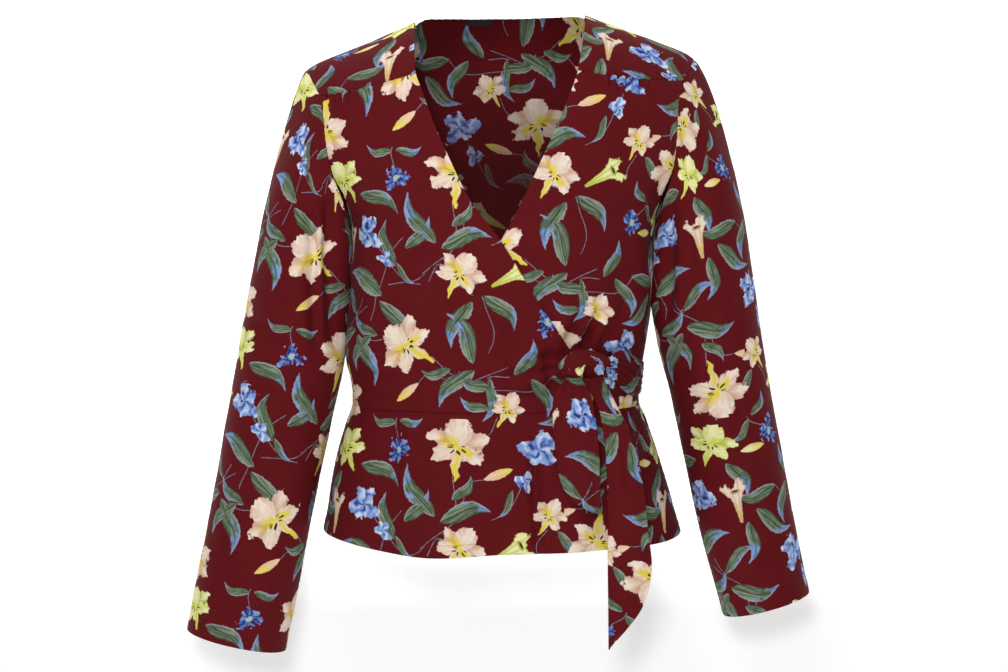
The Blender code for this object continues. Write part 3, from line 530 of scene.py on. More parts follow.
FRONT_FINE = (
    Crease(0.110, -0.304, 0.089, -0.345, 0.0050, -0.0056, 0.003),
    Crease(0.098, -0.312, 0.080, -0.346, 0.0050, 0.0026, 0.002),
    Crease(0.083, -0.300, 0.070, -0.342, 0.0050, -0.0026, -0.003),
    Crease(0.132, -0.305, 0.104, -0.348, 0.0050, -0.0030, 0.004),
    Crease(0.143, -0.320, 0.112, -0.352, 0.0045, 0.0016, 0.003),
    Crease(0.066, -0.345, 0.030, -0.332, 0.0050, 0.0018, 0.003),
    Crease(0.064, -0.352, 0.018, -0.352, 0.0045, -0.0024, -0.003),
    Crease(0.062, -0.360, 0.022, -0.366, 0.0040, 0.0018, 0.002),
    Crease(0.061, -0.367, 0.004, -0.374, 0.0045, -0.0024, 0.003),
    Crease(0.058, -0.380, 0.012, -0.393, 0.0045, -0.0020, -0.003),
    Crease(0.056, -0.398, -0.010, -0.408, 0.0040, 0.0014, 0.002),
    Crease(0.050, -0.345, 0.056, -0.400, 0.0045, -0.0024, 0.002),
    Crease(-0.158, -0.262, -0.120, -0.300, 0.0080, 0.0016, 0.004),
    Crease(-0.160, -0.330, -0.118, -0.345, 0.0070, -0.0014, -0.003),
    Crease(-0.158, -0.356, -0.098, -0.372, 0.0060, 0.0012, 0.003),
    Crease(-0.157, -0.396, -0.105, -0.398, 0.0050, -0.0013, 0.002),
    Crease(-0.060, -0.360, -0.075, -0.408, 0.0090, 0.0012, 0.003),
    Crease(-0.030, -0.330, -0.042, -0.400, 0.0100, -0.0012, -0.004),
    Crease(0.148, -0.262, 0.120, -0.292, 0.0070, -0.0018, 0.003),
    Crease(0.156, -0.290, 0.128, -0.318, 0.0060, 0.0014, 0.003),
    Crease(-0.150, -0.215, -0.112, -0.232, 0.0070, 0.0012, 0.002),
    Crease(0.155, -0.205, 0.118, -0.226, 0.0080, 0.0014, 0.002),
)
BACK_CREASES = (
    Crease(-0.140, -0.230, -0.080, -0.290, 0.015, -0.0030),
    Crease(0.145, -0.225, 0.085, -0.285, 0.015, -0.0030),
    Crease(-0.060, -0.330, 0.050, -0.345, 0.014, 0.0030),
    Crease(-0.110, -0.375, -0.020, -0.372, 0.012, -0.0025),
    Crease(0.110, -0.372, 0.030, -0.380, 0.012, -0.0025),
)
BACK_FINE = (
    Crease(-0.150, -0.392, -0.070, -0.398, 0.006, 0.0016, 0.003),
    Crease(0.140, -0.395, 0.055, -0.400, 0.006, 0.0015, -0.003),
    Crease(-0.020, -0.392, 0.040, -0.397, 0.006, -0.0012, 0.002),
    Crease(-0.148, -0.340, -0.095, -0.352, 0.008, -0.0016, 0.004),
    Crease(0.146, -0.335, 0.098, -0.350, 0.008, -0.0016, -0.004),
    Crease(-0.150, -0.262, -0.105, -0.318, 0.008, 0.0016, 0.003),
    Crease(0.152, -0.258, 0.110, -0.315, 0.008, 0.0016, -0.003),
    Crease(0.000, -0.180, 0.006, -0.300, 0.018, -0.0012, 0.004),
    Crease(-0.060, -0.120, -0.072, -0.240, 0.016, 0.0012, 0.004),
    Crease(0.066, -0.115, 0.074, -0.235, 0.016, 0.0012, -0.004),
)
SLEEVE_CREASES = {
    RIGHT: (Crease(-0.242, -0.345, -0.192, -0.400, 0.014, -0.0045),
            Crease(-0.262, -0.392, -0.225, -0.432, 0.013, 0.0030),
            Crease(-0.250, -0.120, -0.215, -0.190, 0.014, -0.0025),
            Crease(-0.285, -0.520, -0.265, -0.600, 0.014, -0.0020),
            Crease(-0.199, -0.215, -0.194, -0.335, 0.0080, -0.0110),
            Crease(-0.177, -0.200, -0.173, -0.335, 0.0100, -0.0190)),
    LEFT: (Crease(0.228, -0.325, 0.262, -0.430, 0.014, -0.0035),
           Crease(0.205, -0.335, 0.225, -0.420, 0.012, 0.0030),
           Crease(0.245, -0.120, 0.215, -0.190, 0.014, -0.0025),
           Crease(0.270, -0.500, 0.262, -0.590, 0.014, -0.0020),
           Crease(0.203, -0.230, 0.199, -0.310, 0.0090, -0.0050),
           Crease(0.176, -0.190, 0.174, -0.305, 0.0085, -0.0190)),
}
SLEEVE_FINE = {
    RIGHT: (Crease(-0.180, -0.372, -0.205, -0.352, 0.007, -0.0016, 0.003),
            Crease(-0.176, -0.392, -0.214, -0.378, 0.007, 0.0016, 0.003),
            Crease(-0.176, -0.262, -0.196, -0.232, 0.007, -0.0018, 0.004),
            Crease(-0.186, -0.290, -0.210, -0.252, 0.008, 0.0014, 0.004),
            Crease(-0.270, -0.300, -0.245, -0.345, 0.010, -0.0014, 0.004),
            Crease(-0.300, -0.470, -0.262, -0.500, 0.011, 0.0014, 0.004),
            Crease(-0.225, -0.560, -0.252, -0.520, 0.010, -0.0014, 0.004),
            Crease(-0.318, -0.600, -0.290, -0.645, 0.010, 0.0012, 0.003)),
    LEFT: (Crease(0.190, -0.362, 0.214, -0.346, 0.007, -0.0016, 0.003),
           Crease(0.184, -0.400, 0.222, -0.378, 0.007, 0.0016, 0.003),
           Crease(0.180, -0.252, 0.200, -0.222, 0.007, -0.0018, 0.004),
           Crease(0.190, -0.282, 0.214, -0.245, 0.008, 0.0014, 0.004),
           Crease(0.274, -0.290, 0.246, -0.335, 0.010, -0.0014, 0.004),
           Crease(0.296, -0.440, 0.262, -0.478, 0.011, 0.0014, 0.004),
           Crease(0.228, -0.540, 0.256, -0.505, 0.010, -0.0014, 0.004),
           Crease(0.312, -0.560, 0.288, -0.605, 0.010, 0.0012, 0.003)),
}
Flute = namedtuple("Flute", "x width height")
PEPLUM_FRONT_FLUTES = (
    Flute(-0.125, 0.028, -0.006), Flute(-0.062, 0.030, 0.007), Flute(0.010, 0.030, -0.006),
    Flute(0.072, 0.026, 0.005), Flute(0.150, 0.022, -0.005))
PEPLUM_BACK_FLUTES = (
    Flute(-0.135, 0.026, 0.006), Flute(-0.080, 0.026, -0.007), Flute(-0.015, 0.028, 0.008),
    Flute(0.055, 0.028, -0.007), Flute(0.120, 0.028, 0.007))

# %% Heights of creases, flutes, gathers and small waves
CREASE_FADE = 1.6             # how far a crease runs on past its ends, in widths
FINE_GAIN = 1.7               # the fine creases are written down low and made this much higher
FLUTE_GAIN = 0.9              # of the height in a flute's row


def plain_height(creases, x, z):
    """Soft troughs and ridges that fade beyond both ends, as the solids have them."""
    total = np.zeros(np.shape(x))
    for c in creases:
        dx, dz = c.x1 - c.x0, c.z1 - c.z0
        length = math.hypot(dx, dz)
        along = ((x - c.x0) * dx + (z - c.z0) * dz) / length
        off = ((x - c.x0) * dz - (z - c.z0) * dx) / length
        beyond = np.maximum(0.0, np.maximum(-along, along - length))
        fade = beyond / (c.width * CREASE_FADE)
        total += c.height * np.exp(-(off / c.width) ** 2 - fade ** 2)
    return total


def fine_height(creases, x, z):
    """Bowed creases that swell in the middle, each with a low ridge on one side."""
    total = np.zeros(np.shape(x))
    for c in creases:
        dx, dz = c.x1 - c.x0, c.z1 - c.z0
        length = math.hypot(dx, dz)
        t = ((x - c.x0) * dx + (z - c.z0) * dz) / length**2
        bow = c.bow * 4 * t * (1 - t)
        off = ((x - c.x0) * dz - (z - c.z0) * dx) / length - bow
        fade = smoothstep((t + 0.15) / 0.35) * smoothstep((1.15 - t) / 0.45)
        main = np.exp(-(off / c.width) ** 2)
        beside = np.exp(-((off - 1.9 * c.width) / (1.4 * c.width)) ** 2)
        total += FINE_GAIN * c.height * fade * (main - 0.45 * beside)
    return total


def flute_height(flutes, x, z):
    """Waves of the peplum that grow from the waist seam to the hem."""
    grow = smoothstep((WAIST_Z - z) / (WAIST_Z - HEM_Z)) * FLUTE_GAIN
    return grow * sum(f.height * np.exp(-((x - f.x) / f.width) ** 2) for f in flutes)


GATHER_SPAN = {RIGHT: (-0.196, -0.148), LEFT: (0.110, 0.158)}
GATHER_COUNT = 6
GATHER_HEIGHT = 0.0042
GATHER_LENGTH = 0.027


def gather_height(side, x, z):
    """Short soft gathers just below the yoke seam, uneven in length."""
    start, end = GATHER_SPAN[side]
    across = np.clip((x - start) / (end - start), 0, 1)
    uneven = 0.75 + 0.35 * np.sin(across * 17.0 + side)
    down = (yoke_seam_z(side, x) - z) / (GATHER_LENGTH * uneven)
    fade = (1 - smoothstep(down)) * np.sin(math.pi * across) ** 0.5
    phase = 2 * math.pi * GATHER_COUNT * (across + 0.02 * np.sin(across * 11))
    wave = np.sin(phase) + 0.35 * np.sin(2 * phase + 1.0)
    return GATHER_HEIGHT * fade * wave


def cloth_waves(x, z, seed, size=0.055, height=0.0007):
    """The slow uneven waves that any worn cloth has."""
    flat = np.stack([np.ravel(x) / size, np.ravel(z) / size], axis=1)
    values = [noise.noise((a, b, seed)) + 0.4 * noise.noise((2.3 * a, 2.3 * b, seed + 5))
              for a, b in flat]
    return height * np.array(values).reshape(np.shape(x))


SEAM_DIP, SEAM_WIDTH = 0.0007, 0.0016
PUCKER_HEIGHT, PUCKER_LENGTH, PUCKER_REACH = 0.00028, 0.0085, 0.006
HEM_STITCH = 0.0130           # from the hem's edge to its stitches
TURNED_CLOTH, TURNED_STEP = 0.0003, 0.0012     # what the turned-up layer adds below them
STITCH_DIP, STITCH_WIDTH = 0.00035, 0.0011
EDGE_ROLL, EDGE_WIDTH = 0.0007, 0.0025


def seam_height(distance, along, phase=0.0):
    """A sewn seam: the cloth dips into it and puckers a little beside it."""
    dip = -SEAM_DIP * np.exp(-(distance / SEAM_WIDTH) ** 2)
    pucker = np.sin(2 * math.pi * along / PUCKER_LENGTH + phase + 1.3 * np.sin(along * 61))
    return dip + PUCKER_HEIGHT * pucker * np.exp(-distance / PUCKER_REACH)


def hem_height(distance):
    """A hem: thicker up to its row of stitches, which pull the cloth in."""
    stitched = STITCH_DIP * np.exp(-((distance - HEM_STITCH) / STITCH_WIDTH) ** 2)
    return TURNED_CLOTH * smoothstep((HEM_STITCH - distance) / TURNED_STEP) - stitched


def edge_height(distance):
    """A free edge rolls in a little towards the body."""
    return -EDGE_ROLL * np.exp(-(distance / EDGE_WIDTH) ** 2)


print(sum(map(len, (FRONT_CREASES, FRONT_FINE, BACK_CREASES, BACK_FINE))), "body creases")

# %% [markdown]
# ## The printed repeat
#
# The print is ordinary scattered flowers on dark red: lilies from the front and from the
# side, irises, cornflowers, buds, and long leaves on thin stems. A print like this is drawn
# as a few sprays, and the sprays are set out one by one in a repeat that drops by half in
# every second column, as printers do. Each motif has its own small frame of coordinates,
# which is written on the cloth's faces as UV maps. The shader then draws the motif in that
# frame, so its edges stay sharp at any distance and need no picture.

# %% Kinds of motif
Bloom = namedtuple("Bloom", "kind x y turn radius squash tint")
Bud = namedtuple("Bud", "x y turn length width tint")
Leaf = namedtuple("Leaf", "x y turn length width bend tint")
Stem = namedtuple("Stem", "x y turn length bend")
KINDS = {"lily": 0, "trumpet": 1, "iris": 2, "cornflower": 3, "bud": 4}
KIND_STEPS = 10               # a kind is written as a share of this, because a colour ends at 1

SPRAYS = {
    "stand": (
        Bloom("lily", 0.002, 0.038, 4, 0.035, 0.80, 0.1),
        Stem(0.001, 0.010, -84, 0.040, 0.10),
        Stem(-0.020, -0.062, 58, 0.066, -0.12),
        Stem(-0.012, -0.068, 66, 0.022, 0.06),
        Leaf(-0.010, -0.030, 128, 0.056, 0.0165, 0.14, 0.7),
        Leaf(0.004, -0.012, 62, 0.030, 0.0100, -0.16, 0.2),
        Leaf(-0.004, -0.034, 20, 0.050, 0.0155, 0.13, 0.5),
        Leaf(-0.004, -0.050, -14, 0.044, 0.0110, -0.15, 0.9),
        Stem(0.006, -0.012, 44, 0.034, 0.12),
        Bud(0.031, 0.012, 27, 0.030, 0.0085, 0.8),
    ),
    "lime": (
        Bloom("lily", -0.004, 0.006, -12, 0.031, 0.64, 0.9),
        Leaf(-0.020, -0.012, -142, 0.048, 0.0145, -0.15, 0.3),
        Leaf(0.014, -0.012, -52, 0.042, 0.0135, 0.16, 0.8),
        Bud(0.028, 0.000, 18, 0.026, 0.0075, 0.1),
    ),
    "couple": (
        Bloom("lily", -0.024, 0.012, -38, 0.028, 0.80, 0.2),
        Bloom("trumpet", 0.026, 0.004, -70, 0.024, 0.95, 0.9),
        Leaf(-0.004, -0.012, -58, 0.046, 0.0145, 0.15, 0.5),
        Leaf(-0.016, -0.016, -122, 0.050, 0.0155, -0.13, 0.8),
        Stem(-0.006, -0.012, -92, 0.056, 0.12),
    ),
    "iris": (
        Bloom("iris", 0.004, 0.016, 10, 0.0225, 0.90, 0.35),
        Bloom("iris", -0.004, -0.016, 75, 0.0125, 0.80, 0.75),
        Stem(-0.001, -0.002, -116, 0.062, 0.10),
        Leaf(-0.014, -0.026, -108, 0.030, 0.0070, 0.12, 0.6),
    ),
    "twig": (
        Stem(-0.046, -0.022, 22, 0.066, -0.16),
        Leaf(-0.040, -0.020, 164, 0.038, 0.0120, 0.16, 0.5),
        Leaf(-0.022, -0.004, 74, 0.040, 0.0125, -0.15, 0.8),
        Leaf(-0.006, -0.004, -58, 0.042, 0.0130, 0.15, 0.7),
        Leaf(0.014, 0.000, 14, 0.044, 0.0130, -0.14, 0.3),
    ),
    "sprig": (
        Stem(-0.030, -0.014, 28, 0.050, -0.12),
        Leaf(-0.004, -0.002, 66, 0.038, 0.0125, -0.15, 0.8),
        Leaf(0.004, 0.002, -28, 0.044, 0.0135, 0.14, 0.4),
    ),
    "bough": (
        Stem(0.004, -0.056, 96, 0.090, 0.08),
        Stem(0.002, -0.016, 52, 0.050, -0.12),
        Leaf(0.002, -0.028, -172, 0.054, 0.0165, -0.12, 0.7),
        Leaf(0.003, -0.034, -24, 0.050, 0.0155, 0.14, 0.5),
        Leaf(0.000, 0.004, 132, 0.046, 0.0140, 0.15, 0.3),
        Leaf(0.002, 0.026, 80, 0.040, 0.0120, -0.12, 0.9),
    ),
    "cornflower": (
        Bloom("cornflower", 0.000, 0.000, 20, 0.0165, 0.82, 0.5),
        Stem(0.002, 0.010, 80, 0.020, 0.10),
        Leaf(0.004, 0.026, 152, 0.028, 0.0085, 0.18, 0.4),
        Leaf(0.008, 0.026, -8, 0.026, 0.0085, -0.18, 0.8),
    ),
    "star": (
        Bloom("lily", 0.000, 0.004, 40, 0.0185, 0.92, 0.3),
        Leaf(-0.006, -0.012, -132, 0.032, 0.0095, 0.15, 0.7),
        Stem(0.004, -0.008, -56, 0.024, 0.12),
        Bud(0.018, -0.026, -50, 0.019, 0.0058, 0.3),
    ),
    "sidelong": (
        Bloom("trumpet", 0.000, 0.006, 24, 0.023, 0.98, 0.15),
        Leaf(-0.010, -0.014, -116, 0.048, 0.0140, 0.15, 0.6),
        Leaf(0.004, -0.018, -52, 0.042, 0.0120, -0.16, 0.8),
    ),
}

REPEAT_WIDTH, REPEAT_HEIGHT = 0.300, 0.285
SPRAY_SCALE = 1.08
Placed = namedtuple("Placed", "spray x y turn mirror")
REPEAT = (
    Placed("stand", 0.066, 0.200, -8, 1),
    Placed("cornflower", 0.008, 0.236, 16, 1),
    Placed("iris", 0.152, 0.222, -12, 1),
    Placed("stand", 0.232, 0.182, 168, 1),
    Placed("bough", 0.000, 0.140, -30, 1),
    Placed("star", 0.170, 0.166, 10, -1),
    Placed("couple", 0.104, 0.128, 8, 1),
    Placed("cornflower", 0.168, 0.086, -60, -1),
    Placed("stand", 0.056, 0.046, 66, -1),
    Placed("lime", 0.236, 0.082, 16, -1),
    Placed("twig", 0.158, 0.030, -10, 1),
    Placed("sidelong", 0.216, 0.018, -28, 1),
    Placed("star", 0.122, 0.278, -70, 1),
    Placed("iris", 0.276, 0.022, 30, -1),
    Placed("sprig", 0.276, 0.212, 30, -1),
)

# %% Set the sprays out over the cloth
def moved(motif, place):
    """A motif of a spray, turned and shifted to the spray's place, mirrored if asked."""
    x, y = motif.x * place.mirror, motif.y
    turn = motif.turn if place.mirror > 0 else 180 - motif.turn
    if isinstance(motif, Bloom) and place.mirror < 0:
        turn = -motif.turn
    c, s = math.cos(math.radians(place.turn)), math.sin(math.radians(place.turn))
    x, y = x * SPRAY_SCALE, y * SPRAY_SCALE
    changed = {"x": place.x + c * x - s * y, "y": place.y + s * x + c * y,
               "turn": turn + place.turn}
    for size in ("radius", "length", "width"):
        if hasattr(motif, size):
            changed[size] = getattr(motif, size) * SPRAY_SCALE
    if hasattr(motif, "bend"):
        changed["bend"] = motif.bend * place.mirror
    return motif._replace(**changed)


CHART = [moved(motif, place) for place in REPEAT for motif in SPRAYS[place.spray]]
STEM_WIDTH = 0.0012
OUTSIDE = 9.0                 # a coordinate where no motif draws anything


def motif_frame(motif, points):
    """points in the motif's own frame, and how far they are outside it, in metres."""
    c, s = math.cos(math.radians(motif.turn)), math.sin(math.radians(motif.turn))
    dx, dy = points[..., 0] - motif.x, points[..., 1] - motif.y
    along, across = c * dx + s * dy, c * dy - s * dx
    if isinstance(motif, Bloom):
        x = along / motif.radius
        y = across / (motif.radius * motif.squash)
        y = y + 0.12 * (x * x + y * y) * (1 if motif.kind == "lily" else 0)
        beyond = (np.hypot(x, y) - 1.0) * motif.radius
        return np.stack([x, y], axis=-1), beyond
    width = STEM_WIDTH if isinstance(motif, Stem) else motif.width
    bend = getattr(motif, "bend", 0.0)
    t = along / motif.length
    bowed = across - bend * motif.length * (4 * t * (1 - t) - 0.3 * np.sin(2 * math.pi * t))
    side = bowed / (width / 2)
    middle = np.clip(t, 0, 1)
    beyond = np.hypot((t - middle) * motif.length, bowed)
    beyond = beyond - width / 2 * (0.25 + 0.75 * np.sin(math.pi * middle))
    return np.stack([t, side], axis=-1), beyond


PRINT_MARGIN = 0.0028         # a face takes a motif that passes this close to its middle
LAYERS = ("flower", "leaf", "stem")


def lay_print(corners, offset):
    """Motif coordinates for the corners of faces, whose cloth coordinates are given."""
    corners = corners + np.array(offset)
    middle = corners.mean(axis=1)
    maps = {layer: np.full(corners.shape, OUTSIDE) for layer in LAYERS}
    best = {layer: np.full(len(corners), PRINT_MARGIN) for layer in LAYERS}
    kinds = np.zeros((len(corners), 4))
    low = np.floor(middle.min(axis=0) / (REPEAT_WIDTH, REPEAT_HEIGHT)).astype(int) - 1
    high = np.floor(middle.max(axis=0) / (REPEAT_WIDTH, REPEAT_HEIGHT)).astype(int) + 1
    for column in range(low[0], high[0] + 1):
        for row in range(low[1], high[1] + 1):
            drop = 0.5 * REPEAT_HEIGHT * (column % 2)
            corner = column * REPEAT_WIDTH, row * REPEAT_HEIGHT + drop
            for motif in CHART:
                here = motif._replace(x=motif.x + corner[0], y=motif.y + corner[1])
                reach = getattr(here, "radius", None) or here.length * 1.25
                near = np.flatnonzero((abs(middle[:, 0] - here.x) < reach + 0.01)
                                      & (abs(middle[:, 1] - here.y) < reach + 0.01))
                if len(near) == 0:
                    continue
                layer = ("leaf" if isinstance(here, Leaf) else
                         "stem" if isinstance(here, Stem) else "flower")
                beyond = motif_frame(here, middle[near])[1]
                taken = beyond < best[layer][near]
                near = near[taken]
                best[layer][near] = beyond[taken]
                maps[layer][near] = motif_frame(here, corners[near])[0]
                if layer == "flower":
                    kinds[near, 0] = KINDS[getattr(here, "kind", "bud")] / KIND_STEPS
                    kinds[near, 1] = here.tint
                elif layer == "leaf":
                    kinds[near, 2] = here.tint
    return maps, kinds


print(len(CHART), "motifs in a repeat of", REPEAT_WIDTH, "by", REPEAT_HEIGHT, "m")

# %% [markdown]
# ## Motifs in the shader
#
# A petal is easiest in polar form: the angle is folded onto one petal, and the petal is then
# a bar whose half width swells and comes to a point. A leaf is the same bar drawn once along
# its own stem. Brushed streaks and uneven edges come from one noise for all of them.

# %% Colours of the print
GROUND = (0.107, 0.0046, 0.0070)
CREAM, PINK, YELLOW = (0.80, 0.66, 0.54), (0.70, 0.43, 0.34), (0.76, 0.60, 0.08)
LIME_PALE, LIME, LIME_DEEP = (0.80, 0.78, 0.38), (0.62, 0.66, 0.11), (0.30, 0.36, 0.04)
LILY_DEEP, STAMEN = (0.50, 0.27, 0.12), (0.030, 0.030, 0.014)
NAVY, BLUE, PERIWINKLE, ICE = (
    (0.016, 0.030, 0.14), (0.085, 0.150, 0.44), (0.23, 0.34, 0.66), (0.64, 0.72, 0.86))
LEAF_DARK, LEAF_MID = (0.022, 0.034, 0.024), (0.090, 0.128, 0.078)
LEAF_PALE = (0.22, 0.28, 0.18)
LEAF_BLUE, LEAF_EDGE = (0.12, 0.23, 0.48), (0.36, 0.40, 0.50)
STEM_PALE, STEM_DARK = (0.27, 0.24, 0.36), (0.050, 0.050, 0.060)
print("ground red", GROUND)

# %% Draw each kind
def petals(r, phi, first, ragged, width, tip):
    """Three petals, the first at this angle: mask, place along one, and its edge share."""
    fold = (phi - first).math("WRAP", math.pi / 3, -math.pi / 3)
    along = r * fold.math("COSINE") / tip
    across = abs(r * fold.math("SINE"))
    t = clamped(along)
    half = (t ** 0.76) * ((1 - t) ** 0.86) * width
    gap = half - across + ragged * (t * 0.24 + 0.02) - (along - t) * 1.5
    return inside(gap, 0.035), t, across / (half + 0.04)


def draw_lily(paint, x, y, hues, ragged, blotch):
    """A lily from the front and a little above, with its yellow tube below."""
    pale, edge, heart, deep = hues
    x = x + (blotch - 0.5) * 0.28
    r = (x * x + y * y) ** 0.5
    phi = y.math("ARCTAN2", x)
    lean = y / (r + 0.001)
    streak = paint.grain(paint.vector(x / (r + 0.05) * 3.6, lean * 3.6, r * 1.6), 1.5, 2.0)
    reach = r * (1.08 - lean * 0.27)
    over, t_over, side_over = petals(
        reach, phi + (blotch - 0.5) * 0.5, math.pi / 2, ragged, 1.00, 1.0)
    under, t_under, side_under = petals(
        reach, phi - (blotch - 0.5) * 0.4, math.pi / 6, ragged, 0.86, 0.95)
    under = under * (lean > -0.8)
    t = t_over * over + t_under * (1 - over)
    side = side_over * over + side_under * (1 - over)
    colour = paint.colour(between(side * 0.55 + streak * 1.1 + t * 0.1, 0.72, 1.25), pale, edge)
    colour = paint.colour(between(streak, 0.50, 0.40) * between(t, 0.2, 0.6) * 0.5,
                          colour, (0.93, 0.82, 0.70))
    patch = (phi * 2 + 1.0).math("COSINE") * 0.26 + 0.62 - t * 0.95 - side * 0.40 + streak * 0.45
    colour = paint.colour(between(patch, 0.36, 0.60), colour, heart)
    shade = (1 - over) * between(side_over, 1.60, 1.0)
    colour = paint.colour(shade * 0.60, colour, deep)
    colour = paint.colour(inside(0.07 - abs(side - 0.93), 0.10) * 0.75, colour, edge)
    spoke = (phi - 0.3).math("WRAP", 0.42, -0.42)
    along = (r * spoke.math("COSINE") - 0.20) / 0.085
    beside = r * spoke.math("SINE") / 0.035
    anther = inside(1 - (along * along + beside * beside), 0.4) * (y < 0.06)
    colour = paint.colour(anther, colour, STAMEN)
    tube = ((y + 1) * 0.20 + 0.03 - abs(x)).math("MINIMUM", 0.05 - y).math("MINIMUM", y + 1)
    tube_colour = paint.colour(between(abs(x) * 3 + streak, 0.5, 1.1), heart, pale)
    petal = (over + under).math("MINIMUM", 1.0)
    return inside(tube, 0.03).math("MAXIMUM", petal), paint.colour(petal, tube_colour, colour)


def draw_trumpet(paint, x, y, hues, ragged, blotch):
    """A lily from the side: a tube that flares into turned-back tips round a dark mouth."""
    pale, edge, heart, deep = hues
    flare = between(y, -0.10, 0.85)
    half = (y + 1) * 0.15 + 0.05 + flare * flare * 0.62
    top = 0.74 - x * x * 0.55 + (x * 8.5 + blotch * 4).math("COSINE") * 0.17
    gap = (half - abs(x)).math("MINIMUM", top - y).math("MINIMUM", y + 1)
    mask = inside(gap + ragged * (flare * 0.4 + 0.05), 0.045)
    colour = paint.colour(between(y + blotch * 0.8, -0.3, 0.5), heart, pale)
    colour = paint.colour(between(gap + ragged * 0.3, 0.12, 0.02) * 0.7, colour, edge)
    fold = inside(0.03 - abs(abs(x) - (y + 1) * 0.10), 0.04)
    colour = paint.colour(fold * 0.5, colour, deep)
    mouth = 1 - (x * x / 0.05 + (y - 0.40) * (y - 0.40) / 0.010)
    colour = paint.colour(inside(mouth, 0.6) * 0.9, colour, deep)
    stamen = 1 - (x * x / 0.02 + (y - 0.42) * (y - 0.42) / 0.002)
    return mask, paint.colour(inside(stamen, 0.6), colour, STAMEN)


def draw_iris(paint, x, y, tint, ragged, blotch):
    """A ruffled blue flower, from navy folds to pale crests."""
    r = (x * x + y * y) ** 0.5
    phi = y.math("ARCTAN2", x)
    lobes = (phi * 3 + tint * 9).math("COSINE") * 0.17 + (phi * 5 + tint * 17).math("SINE") * 0.11
    gap = lobes + 0.72 + ragged * 0.45 + (blotch - 0.5) * 0.7 - r
    ruffle = ((phi * 4 + blotch * 11 + r * 5).math("SINE")) * 0.24 + blotch * 0.6 + ragged * 0.45
    ruffle = ruffle + 0.12 + tint * 0.10 + between(r, 0.15, 0.75) * 0.14
    colour = paint.colour(between(ruffle, 0.18, 0.32), NAVY, BLUE)
    colour = paint.colour(between(ruffle, 0.30, 0.48), colour, PERIWINKLE)
    colour = paint.colour(between(ruffle, 0.56, 0.90), colour, ICE)
    return inside(gap, 0.05), colour


def draw_cornflower(paint, x, y, tint, ragged, blotch):
    """A small fringed blue flower with a green eye."""
    r = (x * x + y * y) ** 0.5
    phi = y.math("ARCTAN2", x)
    fringe = (phi * 8 + blotch * 15 + r * 3).math("COSINE")
    lobes = (phi * 3 + tint * 5).math("COSINE") * 0.16
    gap = lobes + fringe * 0.12 + 0.66 + ragged * 0.9 + (blotch - 0.5) * 0.8 - r
    tone = fringe * 0.22 + ragged * 1.1 + blotch * 0.5 + r * 0.25 - lobes * 0.4
    colour = paint.colour(between(tone, 0.16, 0.42), NAVY, BLUE)
    colour = paint.colour(between(tone, 0.50, 0.80), colour, PERIWINKLE)
    colour = paint.colour(inside(0.20 - r + ragged * 0.4, 0.1) * 0.8, colour, (0.45, 0.58, 0.50))
    return inside(gap, 0.06), colour


def draw_bud(paint, t, side, tint, ragged, blotch):
    """A closed bud, lime or warm at its foot and yellow at its tip."""
    t01 = clamped(t)
    half = ((t01 * math.pi).math("SINE")) ** 0.75
    mask = inside(half - abs(side) + ragged * 0.3, 0.12) * (t > 0) * (t < 1)
    warm = paint.colour(tint, LIME_PALE, (0.80, 0.46, 0.32))
    colour = paint.colour(between(t + blotch * 0.4, 0.55, 0.95), warm, YELLOW)
    colour = paint.colour(inside(0.14 - abs(side - 0.2), 0.2) * 0.5, colour, CREAM)
    return mask, paint.colour(between(side, -0.3, -0.8) * 0.5, colour, PINK)


def draw_leaf(paint, t, side, tint, ragged, blotch):
    """A long leaf with a dark rib and a pale rim, blue in places."""
    t01 = clamped(t)
    half = (t01 ** 0.80) * ((1 - t01) ** 1.10) * 3.7
    gap = half - abs(side) + ragged * 0.35
    mask = inside(gap, 0.14) * (t > 0) * (t < 1)
    streak = paint.grain(paint.vector(t * 2.0 + tint * 19, side * 1.8 + tint * 7), 1.7, 2.0)
    colour = paint.colour(between(streak + side * 0.10, 0.42, 0.66), LEAF_MID, LEAF_PALE)
    spot = (t - 0.74) * 2.2 + (tint - 0.5) * 1.1 + (blotch - 0.5) * 2.6 + side * 0.40
    blue = paint.colour(between(streak, 0.62, 0.40), LEAF_BLUE, (0.26, 0.37, 0.60))
    colour = paint.colour(between(spot, -0.10, 0.40), colour, blue)
    colour = paint.colour(between(streak - ragged * 0.25, 0.42, 0.28) * 0.60, colour, LEAF_DARK)
    rib = inside(0.07 - abs(side + ragged * 0.15), 0.12) * between(t, 0.98, 0.7)
    colour = paint.colour(rib * 0.9, colour, LEAF_DARK)
    rim = between(gap, 0.24, 0.10) * between(side - ragged, -0.15, 0.25)
    colour = paint.colour(rim * 0.65, colour, LEAF_EDGE)
    rim = between(gap, 0.20, 0.05) * between(side, -0.05, -0.4)
    colour = paint.colour(rim * 0.7, colour, LEAF_DARK)
    return mask, colour

# %% [markdown]
# ## The cloth
#
# The cloth is a smooth viscose: a dark wine red that is a little uneven where the dye took,
# a plain weave too fine to see from a step away, and a faint sheen. Both faces carry the
# print. On the wrong side, painted shade darkens it further down, deep inside the top, where
# little light gets in. Hems have a row of machine stitches, which are small dents and paler
# dashes at a set distance from the edge.

# %% Paint the cloth
WEAVE = 0.00055               # one thread and the gap beside it
STITCH_LENGTH, STITCH_SHARE = 0.0030, 0.72     # from hole to hole, and how much is thread
PAINTED_SHADE_HEIGHTS = -0.05, -0.17   # on the cloth, where the painted shade on the wrong side starts and where it is full


def ground_shade(share):
    """The ground's red, darker or paler."""
    return tuple(c * share for c in GROUND)


def dyed_ground(paint, dye, ragged):
    """The red ground, a little uneven where the dye took."""
    colour = paint.colour(between(dye, 0.3, 0.7) * 0.30, GROUND, ground_shade(0.80))
    return paint.colour((ragged + 0.5) * 0.22, colour, ground_shade(1.35))


